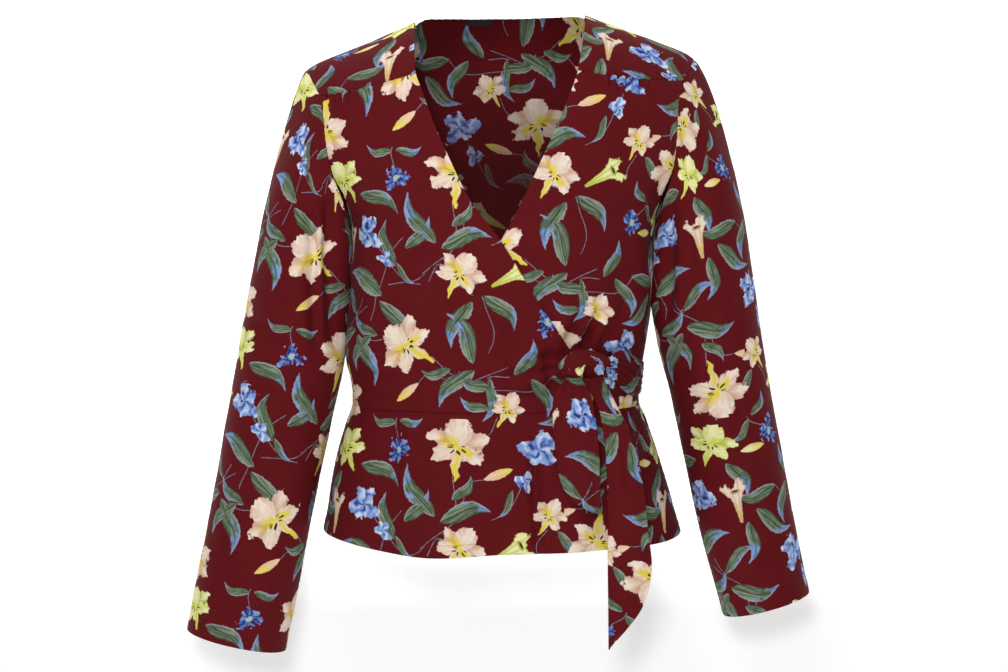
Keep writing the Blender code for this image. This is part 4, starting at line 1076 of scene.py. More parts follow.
def printed(paint, colour, ragged, blotch):
    """The motifs over the ground: stems, then leaves, then flowers and buds."""
    code = paint.make("ShaderNodeAttribute", {"attribute_name": "print_kinds"})
    kind, bloom_tint, leaf_tint = paint.split(code, "Color")
    kind = kind * KIND_STEPS

    t, side, _ = paint.map("stem")
    stem = inside(0.85 - abs(side) + ragged * 0.6, 0.4) * (t > 0) * (t < 1)
    stem_colour = paint.colour(between(side + ragged * 2, -0.6, 0.5), STEM_DARK, STEM_PALE)
    colour = paint.colour(stem, colour, stem_colour)
    t, side, _ = paint.map("leaf")
    leaf, leaf_colour = draw_leaf(paint, t, side, leaf_tint, ragged, blotch)
    colour = paint.colour(leaf, colour, leaf_colour)

    x, y, _ = paint.map("flower")
    lime = bloom_tint > 0.6
    hues = [paint.colour(lime, *pair) for pair in (
        (CREAM, LIME_PALE), (PINK, LIME), (YELLOW, LIME), (LILY_DEEP, LIME_DEEP))]
    draws = ((draw_lily, hues), (draw_trumpet, hues), (draw_iris, bloom_tint),
             (draw_cornflower, bloom_tint), (draw_bud, bloom_tint))
    for number, (draw, extra) in enumerate(draws):
        mask, bloom = draw(paint, x, y, extra, ragged, blotch)
        chosen = abs(kind - number) < 0.5
        colour = paint.colour(mask * chosen, colour, bloom)
    return colour


def stitches(paint, u):
    """The line that the hem's stitches sink into, and the dashes of thread on it."""
    hem = paint.make("ShaderNodeAttribute", {"attribute_name": "hem"}, None, "Fac")
    line = inside(0.00035 - abs(hem - HEM_STITCH), 0.0003)
    dash = u.math("WRAP", STITCH_LENGTH, 0.0) < STITCH_LENGTH * STITCH_SHARE
    return line, line * dash


def cloth_finish(name, deep):
    """deep is how much painted shade darkens the cloth lower down, where little light gets in."""
    paint = Paint(name)
    u, v, cloth = paint.map("cloth")
    blotch = paint.grain(cloth, 95.0, 1.0)
    ragged = paint.grain(cloth, 270.0, 1.0) - 0.5
    dye = paint.grain(cloth, 30.0, 2.0)
    colour = printed(paint, dyed_ground(paint, dye, ragged), ragged, blotch)
    # Painted shade: the colour darkens lower down on the cloth, standing in for the shade deep
    # inside the top.
    colour = paint.colour(between(v, *PAINTED_SHADE_HEIGHTS) * deep, colour, ground_shade(0.40))
    line, thread = stitches(paint, u)
    colour = paint.colour(thread * 0.5, colour, ground_shade(1.8))

    warp = (u * (2 * math.pi / WEAVE)).math("SINE")
    weft = (v * (2 * math.pi / WEAVE)).math("SINE")
    relief = warp * weft * 0.35 + ragged * 0.8 - line * 2.0
    bump = paint.make("ShaderNodeBump", None,
                      {"Strength": 0.16, "Distance": 0.0004, "Height": relief})
    return paint.finish(Base_Color=colour, Roughness=0.74 + dye * 0.10, Normal=bump,
                        Specular_IOR_Level=0.10, Sheen_Weight=0.015, Sheen_Roughness=0.4)


right_side = cloth_finish("printed_viscose", 0.0)
# The wrong side carries painted shade, darker deep inside the top.
wrong_side = cloth_finish("printed_viscose_wrong_side", 0.85)
print(len(right_side.node_tree.nodes), "nodes in the cloth")

# %% [markdown]
# ## Making a cloth piece
#
# A piece is a fine grid of points, laid on the form and pushed out or in by its creases. A
# grid that is thin enough can be built straight from arrays. Solidify then gives the thin
# cloth its second face, and the piece takes the place of its solid.

# %% Grid helpers
SPACING = 0.0029              # between grid lines
CLOTH = 0.0008                # thickness of the shell
EDGE_LINES = (0.0007, 0.0015, 0.0028)


def lines(length, close=(), spacing=SPACING):
    """Fractions of a length for the grid lines, closer by both ends and by chosen places."""
    wanted = list(np.linspace(0, length, max(3, round(length / spacing)) + 1))
    extra = list(EDGE_LINES) + [length - d for d in EDGE_LINES]
    for place in close:
        extra += [place + d for d in (-0.0028, -0.0012, 0.0, 0.0008, 0.0018, 0.0032, 0.005)]
    chosen = sorted(e for e in extra if 0 < e < length)
    keep = [w for w in wanted[1:-1] if all(abs(w - e) > 0.0009 for e in chosen)]
    return np.array([0.0] + sorted(keep + chosen) + [length]) / length


def coons(bottom, top, left, right, s, r):
    """Fill a four-sided outline. Each side is a function that gives a pair of arrays."""
    low, high = np.stack(bottom(s), axis=-1)[None], np.stack(top(s), axis=-1)[None]
    start, end = np.stack(left(r), axis=-1)[:, None], np.stack(right(r), axis=-1)[:, None]
    s, r = s[None, :, None], r[:, None, None]
    edge = (1 - r) * low + r * high + (1 - s) * start + s * end
    corner = ((1 - s) * (1 - r) * low[:, :1] + s * (1 - r) * low[:, -1:]
              + (1 - s) * r * high[:, :1] + s * r * high[:, -1:])
    return edge - corner


def unit(vectors):
    """The vectors at a length of one."""
    return vectors / np.maximum(np.linalg.norm(vectors, axis=-1, keepdims=True), 1e-12)


def normals_of(points, around=False):
    """Unit normals of a grid of points, along the cross product of columns and rows."""
    if around:
        ahead = np.roll(points[:, :-1], -1, axis=1)
        behind = np.roll(points[:, :-1], 1, axis=1)
        along = np.concatenate([ahead - behind, (ahead - behind)[:, :1]], axis=1)
    else:
        along = np.gradient(points, axis=1)
    return unit(np.cross(along, np.gradient(points, axis=0)))


def facing_out(points, normals, middle):
    """Normals turned away from the middle points, and whether they were turned."""
    flip = np.mean(np.sum(normals * (points - middle), axis=-1)) < 0
    return (-normals if flip else normals), flip


def body_middle(points):
    """Points inside the form that the cloth at each point faces away from."""
    return points * (0.5, 0.0, 1.0) - (0, 0, 0.02)


def distances(points, axis):
    """How far along each grid line every point lies, in metres."""
    steps = np.linalg.norm(np.diff(points, axis=axis), axis=-1)
    pad = [(0, 0), (0, 0)]
    pad[axis] = (1, 0)
    return np.pad(np.cumsum(steps, axis=axis), pad)

# %% [markdown]
# ## A record for the cut of a piece
#
# Cloth is cut flat. A cut is given as the width, length and area of the flat cut that shows,
# and how it is held: all round on a sleeve, and without the seam allowances and the turned
# hems. The sash and the gathered fronts are cut a little larger than they measure once they
# are sewn in. Only the record is made here; no piece is given its cut.

# %% A record for a cut
Cut = namedtuple("Cut", "width length area held")

# %% Build a piece from its grid
def set_layer(mesh, name, kind, domain, values):
    """Store one value for each point or corner on the mesh."""
    layer = mesh.attributes.new(name, kind, domain)
    layer.data.foreach_set({"FLOAT": "value", "FLOAT_COLOR": "color"}[kind],
                           np.asarray(values, dtype=np.float32).ravel())


Grid = namedtuple("Grid", "points cloth flip hem around", defaults=(None, False))


def grid_faces(grid, start):
    """Vertices, faces, cloth coordinates of the corners, and hem distances of one grid."""
    rows, columns = grid.points.shape[:2]
    unique = columns - 1 if grid.around else columns
    i, j = np.meshgrid(np.arange(rows - 1), np.arange(columns - 1), indexing="ij")
    i, j = i.ravel(), j.ravel()
    corner_rows = np.stack([i, i, i + 1, i + 1], axis=1)
    corner_columns = np.stack([j, j + 1, j + 1, j], axis=1)
    if grid.flip:
        corner_rows, corner_columns = corner_rows[:, ::-1], corner_columns[:, ::-1]
    faces = start + corner_rows * unique + corner_columns % unique
    hem = np.ones((rows, columns)) if grid.hem is None else grid.hem
    return (grid.points[:, :unique].reshape(-1, 3), faces,
            grid.cloth[corner_rows, corner_columns], hem[:, :unique].ravel())


def cloth_piece(node, grids, offset):
    """A printed cloth shell that takes the place of a solid."""
    verts, faces, corner_uv, hem = [], [], [], []
    for grid in grids:
        made = grid_faces(grid, sum(map(len, verts)))
        for store, values in zip((verts, faces, corner_uv, hem), made):
            store.append(values)
    verts, faces, corner_uv, hem = map(np.concatenate, (verts, faces, corner_uv, hem))
    mesh = bpy.data.meshes.new(node + "_cloth")
    mesh.from_pydata(verts.tolist(), [], faces.tolist())
    maps, kinds = lay_print(corner_uv, offset)
    for layer, values in (("cloth", corner_uv), *maps.items()):
        uv = mesh.uv_layers.new(name=layer)
        uv.data.foreach_set("uv", np.asarray(values, dtype=np.float32).ravel())
    set_layer(mesh, "print_kinds", "FLOAT_COLOR", "CORNER", np.repeat(kinds, 4, axis=0))
    set_layer(mesh, "hem", "FLOAT", "POINT", hem)
    mesh.materials.append(right_side)
    mesh.materials.append(wrong_side)
    piece = bpy.data.objects.new(node + "_cloth", mesh)
    bpy.context.scene.collection.objects.link(piece)
    area = sum(p.area for p in mesh.polygons)
    wall = piece.modifiers.new("wall", "SOLIDIFY")
    wall.thickness, wall.offset, wall.material_offset = CLOTH, -1, 1
    wall.use_quality_normals = True
    with bpy.context.temp_override(object=piece, active_object=piece,
                                   selected_objects=[piece]):
        bpy.ops.object.modifier_apply(modifier="wall")
    piece.data.shade_smooth()
    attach(piece, "root")
    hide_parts(node)
    print(node, len(piece.data.polygons) * 2, "triangles", round(area, 4), "square metres")
    return piece

# %% Arc length round the form
ARC_ANGLES = np.radians(np.linspace(-100, 280, 381))
ARC_HEIGHTS = np.linspace(-0.575, 0.03, 122)
arc_points = torso(ARC_ANGLES[None, :], ARC_HEIGHTS[:, None])
arc_steps = np.linalg.norm(np.diff(arc_points[..., :2], axis=1), axis=-1)
ARC_TABLE = np.pad(np.cumsum(arc_steps, axis=1), [(0, 0), (1, 0)])
ARC_TABLE -= ARC_TABLE[:, [np.argmin(abs(ARC_ANGLES))]]


def arc_at(angle, z):
    """Distance round the form from the centre front."""
    a = np.interp(angle, ARC_ANGLES, np.arange(len(ARC_ANGLES)))
    h = np.interp(z, ARC_HEIGHTS, np.arange(len(ARC_HEIGHTS)))
    a0 = np.minimum(a.astype(int), len(ARC_ANGLES) - 2)
    h0 = np.minimum(h.astype(int), len(ARC_HEIGHTS) - 2)
    fa, fh = a - a0, h - h0
    return ((1 - fa) * (1 - fh) * ARC_TABLE[h0, a0] + fa * (1 - fh) * ARC_TABLE[h0, a0 + 1]
            + (1 - fa) * fh * ARC_TABLE[h0 + 1, a0] + fa * fh * ARC_TABLE[h0 + 1, a0 + 1])


def cloth_on_form(angle, z, middle=0.0):
    """Flat cloth coordinates: distance round the form from the piece's middle, and height."""
    return np.stack([arc_at(angle, z) - arc_at(middle, z), z], axis=-1)


print("half way round at the bust", round(float(arc_at(math.pi, -0.10)), 3), "m")

# %% [markdown]
# ## The two fronts
#
# Each front runs from its side seam and armhole to a long slanting edge. The wearer's right
# front laps over the left one, and both are gathered a little into the yoke. The tie pulls at
# the waist, so creases run towards the knot.

# %% Make the fronts
FRONT_ACROSS = 0.27           # about, which sets the number of grid lines
LAP_CLEAR, LAP_RISE = 0.004, 0.030


def lap_drop(clear):
    """How far an under layer lies below the form, clear metres past the edge over it."""
    return (WALL + LAP_GAP) * (1 - smoothstep((clear - LAP_CLEAR) / LAP_RISE))


def side_line(side, low, high, behind=False):
    """The side seam and then the armhole, as angles and heights."""
    def edge(r):
        z = low + (high - low) * r
        angle = np.where(z > ARMPIT_Z[side], armhole_angle(side, z), side * math.pi / 2)
        return (side * math.pi - angle if behind else angle), z
    return edge


def armpit_fill(side, z, away):
    """The side seam stands out a little under the arm, where the sleeve presses on it."""
    return 0.0022 * np.exp(-((z - ARMPIT_Z[side] + 0.010) / 0.014) ** 2 - (away / 0.025) ** 2)


def make_front(name, side, edge_name, offset):
    """Filled in between the waist seam, the yoke seam, the side and the free edge."""
    neck_end, neck_z = YOKE_FRONT[side]["neck"]
    arm_z = YOKE_FRONT[side]["arm_z"]
    reach = float(WRAP_EDGE.at(neck_z, edge_name))

    def free_edge(r):
        z = WAIST_Z + (neck_z - WAIST_Z) * r
        x = WRAP_EDGE.at(z, edge_name) + (neck_end - reach) * smoothstep(r * 4 - 3)
        return angle_at(x, z), z

    def bottom(s):
        start, end = side * math.pi / 2, float(free_edge(np.array(0.0))[0])
        return start + (end - start) * s, np.full(np.shape(s), WAIST_Z)

    def top(s):
        x, z = yoke_front_seam(side, s)
        return angle_at(x, z), z

    height = arm_z - WAIST_Z
    s = lines(FRONT_ACROSS)
    r = lines(height, close=(ARMPIT_Z[side] - WAIST_Z,))
    fill = coons(bottom, top, side_line(side, WAIST_Z, arm_z), free_edge, s, r)
    angle, z = fill[..., 0], fill[..., 1]
    points = torso(angle, z)
    normals, flip = facing_out(points, normals_of(points), body_middle(points))
    across, up = distances(points, 1), distances(points, 0)
    x, z = points[..., 0], points[..., 2]
    lift = plain_height(FRONT_CREASES, x, z) + fine_height(FRONT_FINE, x, z)
    lift += gather_height(side, x, z) + cloth_waves(x, z, 3.0 + side)
    lift += armpit_fill(side, z, across)
    lift += seam_height(across, up, 1.0) + seam_height(up, across, 2.0)
    lift += seam_height(up[-1:] - up, across, 3.0)
    if side == LEFT:
        lift -= lap_drop(x - WRAP_EDGE.at(z, "over"))
    lift += edge_height(across[:, -1:] - across)
    points = points + normals * lift[..., None]
    grid = Grid(points, cloth_on_form(angle, z), flip)
    return cloth_piece(name, (grid,), offset)


make_front("bodice_front_over", RIGHT, "over", (0.118, 0.118))
make_front("bodice_front_under", LEFT, "under", (0.02, 0.30))

# %% [markdown]
# ## The back
#
# One piece from side seam to side seam. Its inside shows through the neck.

# %% Make the back
BACK_ACROSS = 0.42


def make_back(offset):
    tops = {side: tip_z(side) - YOKE_BACK_DROP for side in (RIGHT, LEFT)}
    height = tops[RIGHT] - WAIST_Z
    armpit = (ARMPIT_Z[RIGHT] - WAIST_Z) / height

    def right_edge(r):
        angle, z = side_line(RIGHT, WAIST_Z, tops[RIGHT], behind=True)(r)
        return angle + 2 * math.pi, z

    def left_edge(r):
        z = np.interp(r, (0, armpit, 1), (WAIST_Z, ARMPIT_Z[LEFT], tops[LEFT]))
        angle = np.where(z > ARMPIT_Z[LEFT], armhole_angle(LEFT, z), math.pi / 2)
        return math.pi - angle, z

    def bottom(s):
        return 1.5 * math.pi - math.pi * s, np.full(np.shape(s), WAIST_Z)

    def top(s):
        x, z = back_top(s)
        return math.pi - angle_at(x, z), z

    right, left = back_seam_x(RIGHT), back_seam_x(LEFT)
    corners = [BACK_ACROSS * (x - right) / (left - right) for x in (-NECK_X, NECK_X)]
    s = lines(BACK_ACROSS, close=corners)
    r = lines(height, close=(armpit * height,))
    fill = coons(bottom, top, right_edge, left_edge, s, r)
    angle, z = fill[..., 0], fill[..., 1]
    points = torso(angle, z)
    normals, flip = facing_out(points, normals_of(points), body_middle(points))
    across, up = distances(points, 1), distances(points, 0)
    x, z = points[..., 0], points[..., 2]
    lift = plain_height(BACK_CREASES, x, z) + fine_height(BACK_FINE, x, z)
    lift += cloth_waves(x, z, 9.0) + seam_height(across, up) + seam_height(up, across)
    lift += seam_height(across[:, -1:] - across, up) + seam_height(up[-1:] - up, across)
    lift += armpit_fill(RIGHT, z, across) + armpit_fill(LEFT, z, across[:, -1:] - across)
    points = points + normals * lift[..., None]
    points[..., 2] += NECK_RISE.at(x, "rise") * np.exp(-((up[-1:] - up) / 0.018) ** 2)
    grid = Grid(points, cloth_on_form(angle, z, math.pi), flip)
    return cloth_piece("bodice_back", (grid,), offset)


back_piece = make_back((0.415, 0.21))

# %% [markdown]
# ## The shoulder yokes
#
# Each yoke starts at the gathered seam in front and runs over the shoulder to its back seam.

# %% Make the yokes
YOKE_ACROSS, YOKE_ALONG = 0.125, 0.12


def make_yoke(side, name, offset):
    """Filled in over the shoulder, in widths and in turns from front to back."""
    front_x, front_z = (float(v) for v in yoke_front_seam(side, 0.0))
    back_x = back_seam_x(side)
    ends = {s: back_seam_x(s) for s in (RIGHT, LEFT)}
    front_turn = float(turn_at(front_x, front_z))
    back_turn = -float(turn_at(back_x, tip_z(side) - YOKE_BACK_DROP))

    def bottom(s):
        x, z = yoke_front_seam(side, s)
        return x, turn_at(x, z)

    def top(s):
        x = back_x + (side * NECK_X - back_x) * s
        share = (x - ends[RIGHT]) / (ends[LEFT] - ends[RIGHT])
        return x, -turn_at(x, back_top(share)[1])

    def arm_edge(r):
        turn = front_turn + (back_turn - front_turn) * r
        return arm_x_over_shoulder(side, turn), turn

    def neck_edge(r):
        start, end = float(bottom(np.array(1.0))[1]), float(top(np.array(1.0))[1])
        turn = start + (end - start) * r
        return neck_x(side, turn), turn

    shoulder = front_turn / (front_turn - back_turn) * YOKE_ALONG
    s, r = lines(YOKE_ACROSS), lines(YOKE_ALONG, close=(shoulder,))
    fill = coons(bottom, top, arm_edge, neck_edge, s, r)
    x, turn = fill[..., 0], fill[..., 1]
    points = over_shoulder(x, turn)
    normals, flip = facing_out(points, normals_of(points), body_middle(points) - (0, 0, 0.06))
    across, up = distances(points, 1), distances(points, 0)
    z = points[..., 2]
    lift = cloth_waves(x, z, 14.0 + side, height=0.0006)
    lift += 1.6 * seam_height(up, across) + seam_height(across, up)
    lift += seam_height(up[-1:] - up, across)
    points = points + normals * lift[..., None]
    grid = Grid(points, np.stack([x * 1.04, turn * -0.1], axis=-1), flip)
    return cloth_piece(name, (grid,), offset)


make_yoke(RIGHT, "yoke_right", (0.34, 0.115))
make_yoke(LEFT, "yoke_left", (0.10, 0.10))

# %% [markdown]
# ## The peplum
#
# Three flared pieces below the waist seam, with soft flutes that grow towards the hem. The
# hem is turned up once, so the cloth is a little thicker below its row of stitches.

# %% Make the peplum
PEPLUM_OVER_X = {"waist": 0.118, "hem": 0.136}
PEPLUM_UNDER_X = {"waist": -0.085, "hem": -0.105}
PEPLUM_FINE = (
    Crease(-0.150, -0.425, -0.162, -0.480, 0.010, 0.0018, 0.003),
    Crease(-0.108, -0.418, -0.114, -0.470, 0.008, -0.0014, 0.002),
    Crease(-0.090, -0.416, -0.094, -0.530, 0.012, 0.0022, 0.003),
    Crease(-0.030, -0.418, -0.024, -0.520, 0.012, -0.0020, -0.003),
    Crease(0.050, -0.416, 0.052, -0.500, 0.010, 0.0016, 0.002),
    Crease(0.038, -0.440, 0.043, -0.562, 0.0055, -0.0050, 0.003),
    Crease(0.096, -0.440, 0.103, -0.562, 0.0100, -0.0030, 0.002),
    Crease(0.066, -0.500, 0.060, -0.560, 0.010, -0.0016, 0.002),
    Crease(0.132, -0.418, 0.150, -0.500, 0.008, 0.0022, 0.003),
    Crease(0.146, -0.420, 0.168, -0.480, 0.007, -0.0018, 0.002),
)
PEPLUM_BACK_FINE = (
    Crease(-0.110, -0.416, -0.116, -0.500, 0.010, 0.0020, 0.003),
    Crease(-0.045, -0.416, -0.050, -0.470, 0.008, -0.0016, 0.002),
    Crease(0.020, -0.416, 0.018, -0.520, 0.011, 0.0020, -0.003),
    Crease(0.088, -0.416, 0.094, -0.480, 0.009, -0.0018, 0.002),
    Crease(0.150, -0.420, 0.162, -0.500, 0.009, 0.0018, 0.003),
)


def peplum_edge(edge, r):
    """The angle of a free edge, from the hem (0) to the waist seam (1)."""
    hem, waist = float(angle_at(edge["hem"], HEM_Z)), float(angle_at(edge["waist"], WAIST_Z))
    return hem + (waist - hem) * r


def make_peplum(name, start, end, width, flutes, fine, offset, seed, under=False, behind=False):
    """start and end give the side edges as angles, from the hem up."""
    height = WAIST_Z - HEM_Z
    s, r = lines(width)[None, :], lines(height, close=(HEM_STITCH,))[:, None]
    angle = start(r) + (end(r) - start(r)) * s
    hem_z = HEM.at(np.degrees(angle), "z")
    z = hem_z + (WAIST_Z - hem_z) * r
    points = torso(angle, z)
    normals, flip = facing_out(points, normals_of(points), body_middle(points))
    across, up = distances(points, 1), distances(points, 0)
    x, z = points[..., 0], points[..., 2]
    lift = flute_height(flutes, x, z) + fine_height(fine, x, z)
    lift += cloth_waves(x, z, seed) + seam_height(across, up) + seam_height(up[-1:] - up, across)
    lift += hem_height(up)
    if under:
        share = (z - HEM_Z) / (WAIST_Z - HEM_Z)
        over_edge = half_width(1, z) * np.sin(peplum_edge(PEPLUM_OVER_X, share))
        lift -= lap_drop(x - over_edge)
    rim = across[:, -1:] - across
    lift += seam_height(rim, up) if behind else edge_height(rim)
    points = points + normals * lift[..., None]
    grid = Grid(points, cloth_on_form(angle, z, math.pi if behind else 0.0), flip, up)
    return cloth_piece(name, (grid,), offset)


HALF_TURN = math.pi / 2
make_peplum(
    "peplum_front_over", lambda r: -HALF_TURN, lambda r: peplum_edge(PEPLUM_OVER_X, r),
    0.38, PEPLUM_FRONT_FLUTES, PEPLUM_FINE, (0.118, 0.118), 21.0)
make_peplum(
    "peplum_front_under", lambda r: HALF_TURN, lambda r: peplum_edge(PEPLUM_UNDER_X, r),
    0.36, PEPLUM_FRONT_FLUTES, PEPLUM_FINE, (0.02, 0.26), 22.0, under=True)
make_peplum(
    "peplum_back", lambda r: 3 * HALF_TURN, lambda r: HALF_TURN,
    0.46, PEPLUM_BACK_FLUTES, PEPLUM_BACK_FINE, (0.415, 0.21), 23.0, behind=True)

# %% [markdown]
# ## The sleeves
#
# The armhole is followed as a loop of points. The sleeve head leaves it at right angles and
# bends over into rings that run down to the cuff, which is open and hemmed.

# %% Sizes of the sleeves
SLEEVES = {
    RIGHT: Table("step outer_x outer_z inner_x inner_z mid_y half_depth", (
        (0.0, -0.2590, -0.226, -0.1566, -0.245, 0.000, 0.056),
        (1.0, -0.2710, -0.286, -0.1613, -0.305, 0.001, 0.056),
        (2.0, -0.2830, -0.352, -0.1678, -0.364, 0.000, 0.055),
        (3.0, -0.2945, -0.415, -0.1815, -0.427, -0.004, 0.054),
        (4.0, -0.3060, -0.480, -0.1960, -0.494, -0.009, 0.051),
        (5.0, -0.3175, -0.543, -0.2090, -0.559, -0.013, 0.049),
        (6.0, -0.3315, -0.610, -0.2220, -0.627, -0.016, 0.047),
        (6.7, -0.3400, -0.657, -0.2335, -0.681, -0.017, 0.046))),
    LEFT: Table("step outer_x outer_z inner_x inner_z mid_y half_depth", (
        (0.0, 0.2645, -0.218, 0.1637, -0.237, 0.000, 0.055),
        (1.0, 0.2740, -0.275, 0.1619, -0.294, 0.001, 0.055),
        (2.0, 0.2835, -0.338, 0.1712, -0.349, 0.000, 0.054),
        (3.0, 0.2935, -0.400, 0.1870, -0.411, -0.004, 0.053),
        (4.0, 0.3050, -0.463, 0.2010, -0.477, -0.009, 0.051),
        (5.0, 0.3165, -0.524, 0.2145, -0.540, -0.013, 0.049),
        (6.0, 0.3285, -0.583, 0.2305, -0.599, -0.016, 0.047),
        (6.6, 0.3355, -0.616, 0.2430, -0.642, -0.017, 0.046))),
}
CAP_LEAD = {RIGHT: 0.014, LEFT: 0.025}
CAP_SPREAD = 1.4
RING_POWER = 0.95
BACK_FOLD_SHIFT, BACK_FOLD_SHARE = (0.012, 0.030), 0.8
ARM_LENGTH = 0.435            # of each sleeve's straight part, roughly
SLEEVE_COLUMNS, CAP_ROWS = 148, 54
SLEEVE_START = 0.0003         # from the armhole seam, and this much more under the arm
SLEEVE_SPREAD = 0.0005

# %% Follow the armhole
def surface_normals(surface, p, q, step=0.0015):
    along = surface(p + step, q) - surface(p - step, q)
    up = surface(p, q + step) - surface(p, q - step)
    return unit(np.cross(along, up))


def armhole_loop(side):
    """Points, outward normals and leaving directions round the armhole, from the tip."""
    front_x, front_z = (float(v) for v in yoke_front_seam(side, 0.0))
    front_turn = float(turn_at(front_x, front_z))
    back_z = tip_z(side) - YOKE_BACK_DROP
    back_turn = float(turn_at(back_seam_x(side), back_z))
    low = ARMPIT_Z[side]
    over = np.linspace(0, front_turn, 60)[:-1]
    down = low + (front_z - low) * np.linspace(1, 0, 160) ** 1.5
    up = low + (back_z - low) * np.linspace(0, 1, 160)[1:] ** 1.5
    close = np.linspace(-back_turn, 0, 12)[1:-1]
    runs = ((over_shoulder, arm_x_over_shoulder(side, over), over),
            (torso, armhole_angle(side, down), down),
            (torso, side * math.pi - armhole_angle(side, up), up),
            (over_shoulder, arm_x_over_shoulder(side, close), close))
    points = np.concatenate([surface(p, q) for surface, p, q in runs])
    normals = np.concatenate([surface_normals(surface, p, q) for surface, p, q in runs])
    outward = points - (points * (0, 0, 1) - (0, 0, 0.10))
    normals *= np.sign(np.sum(normals * outward, axis=1))[:, None]
    tangents = unit(np.roll(points, -3, axis=0) - np.roll(points, 3, axis=0))
    ways = unit(np.cross(tangents, normals))
    if ways[0, 0] * side < 0:
        ways = -ways
    return points, normals, ways, len(over) + len(down) - 1

# %% Make a sleeve
def sleeve_ring(side, turn, step):
    """Points of the straight part, turn going round it from its outer edge."""
    table = SLEEVES[side]
    row = {n: table.at(step, n) for n in table.names[1:]}
    outer = np.stack([row["outer_x"], row["mid_y"], row["outer_z"]], axis=-1)
    inner = np.stack([row["inner_x"], row["mid_y"], row["inner_z"]], axis=-1)
    forward = row["half_depth"][..., None] * (0, -1, 0)
    c, s = np.cos(turn), np.sin(turn)
    c = np.copysign(abs(c) ** RING_POWER, c)[..., None]
    s = np.copysign(abs(s) ** RING_POWER, s)[..., None]
    return (outer + inner) / 2 + (outer - inner) / 2 * c + forward * s


def sleeve_folds(side, x, z):
    return plain_height(SLEEVE_CREASES[side], x, z) + fine_height(SLEEVE_FINE[side], x, z)


def spaced_armhole(side):
    """Seam points, normals and leaving ways at the sleeve's columns, and each one's turn."""
    points, normals, ways, armpit = armhole_loop(side)
    closed = [np.concatenate([a, a[:1]]) for a in (points, normals, ways)]
    length = np.concatenate([[0], np.cumsum(np.linalg.norm(np.diff(closed[0], axis=0), axis=1))])
    first = np.clip(length / length[armpit], 0, 1)
    second = np.clip((length[-1] - length) / (length[-1] - length[armpit]), 0, 1)
    before = np.arange(len(length)) <= armpit
    share = np.where(before, first, 2 - second)
    turn = math.pi * np.where(before, first**CAP_SPREAD, 2 - second**CAP_SPREAD)
    spacing = (share + turn / math.pi) / 4
    around = (np.linspace(0, 1, SLEEVE_COLUMNS + 1) + spacing[armpit]) % 1.0
    around[-1] = around[0]
    seam, away, way = (
        np.stack([np.interp(around, spacing, a[:, k]) for k in range(3)], axis=-1)
        for a in closed)
    return seam, away, way, np.interp(around, spacing, turn), np.argmin(np.abs(around))


def sleeve_cap(side, seam, away, way, turn):
    """Rows of points on curves that leave the armhole and bend into the first ring."""
    under = ((1 - np.cos(turn)) / 2)[:, None]
    end = sleeve_ring(side, turn, np.zeros(turn.shape))
    axis = unit(sleeve_ring(side, turn, np.full(turn.shape, 0.15)) - end)
    leaving = unit(end - seam)
    concave = smoothstep(np.sum(leaving * away, axis=1) / 0.25)[:, None]
    start = seam + unit(way + (leaving + away * 0.5) * concave) * (
        SLEEVE_START + SLEEVE_SPREAD * under)
    reach = np.linalg.norm(end - start, axis=1)[:, None]
    lead = CAP_LEAD[side] * (1 - under) + 0.3 * reach * under
    c1 = start + unit(way * (1 - under) + axis * (under + 0.15)) * np.minimum(lead, 0.4 * reach)
    c2 = end - axis * 0.36 * reach
    close_rows = [0, 0.005, 0.012, 0.022]
    t = np.concatenate([close_rows, np.linspace(0.036, 1, CAP_ROWS)[:-1]])[:, None, None]
    a = 1 - t
    return start * a**3 + c1 * 3 * a * a * t + c2 * 3 * a * t * t + end * t**3


def make_sleeve(side, name, offset, seed):
    """A tube of rows: the cap first, and then the rings of the straight part to the cuff."""
    seam, away, way, turn, top = spaced_armhole(side)
    rows = lines(ARM_LENGTH, close=(ARM_LENGTH - HEM_STITCH,), spacing=0.0033)[:, None]
    steps = SLEEVES[side].key[-1] * rows
    arm = sleeve_ring(side, turn[None, :] + 0 * steps, steps + 0 * turn[None, :])
    points = np.concatenate([sleeve_cap(side, seam, away, way, turn), arm])
    normals, flip = facing_out(points, normals_of(points, around=True),
                               points.mean(axis=1, keepdims=True))
    down, ring = distances(points, 0), distances(points, 1)
    cuff = down[-1:] - down
    ring = ring - ring[:, [top]]

    x, z, front = points[..., 0], points[..., 2], normals[..., 1] < 0
    out, below = BACK_FOLD_SHIFT
    lift = np.where(front, sleeve_folds(side, x, z),
                    BACK_FOLD_SHARE * sleeve_folds(side, x + side * out, z + below))
    lift *= abs(normals[..., 1]) * smoothstep(down / 0.05)
    lift += cloth_waves(x, z + 0.3 * front, seed) * smoothstep(down / 0.02)
    lift += 1.3 * seam_height(down, ring)
    lift += hem_height(cuff)
    under_seam = np.minimum(ring - ring[:, :1], ring[:, -1:] - ring)
    lift += seam_height(under_seam, down)
    lift[:, -1] = lift[:, 0]
    points = points + normals * lift[..., None]
    grid = Grid(points, np.stack([ring, cuff], axis=-1), flip, cuff, True)
    return cloth_piece(name, (grid,), offset)


make_sleeve(RIGHT, "sleeve_right", (0.215, 0.060), 31.0)
make_sleeve(LEFT, "sleeve_left", (0.130, 0.185), 32.0)

# %% [markdown]
# ## Sash, knot and tie ends
#
# The sash is gathered into the side seam and runs forward to the knot. The knot is three
# flattened tubes of cloth: one goes over the other two, which turn down and open out into
# the wide long end and the short end beside it.

# %% Make the sash
SASH = Table("x low high lift", (
    (0.1095, -0.3740, -0.3520, 0.0150),
    (0.1180, -0.3830, -0.3480, 0.0110),
    (0.1280, -0.3930, -0.3490, 0.0076),
    (0.1400, -0.4010, -0.3560, 0.0050),
    (0.1530, -0.4020, -0.3640, 0.0022)))
SASH_GATHERS = 6


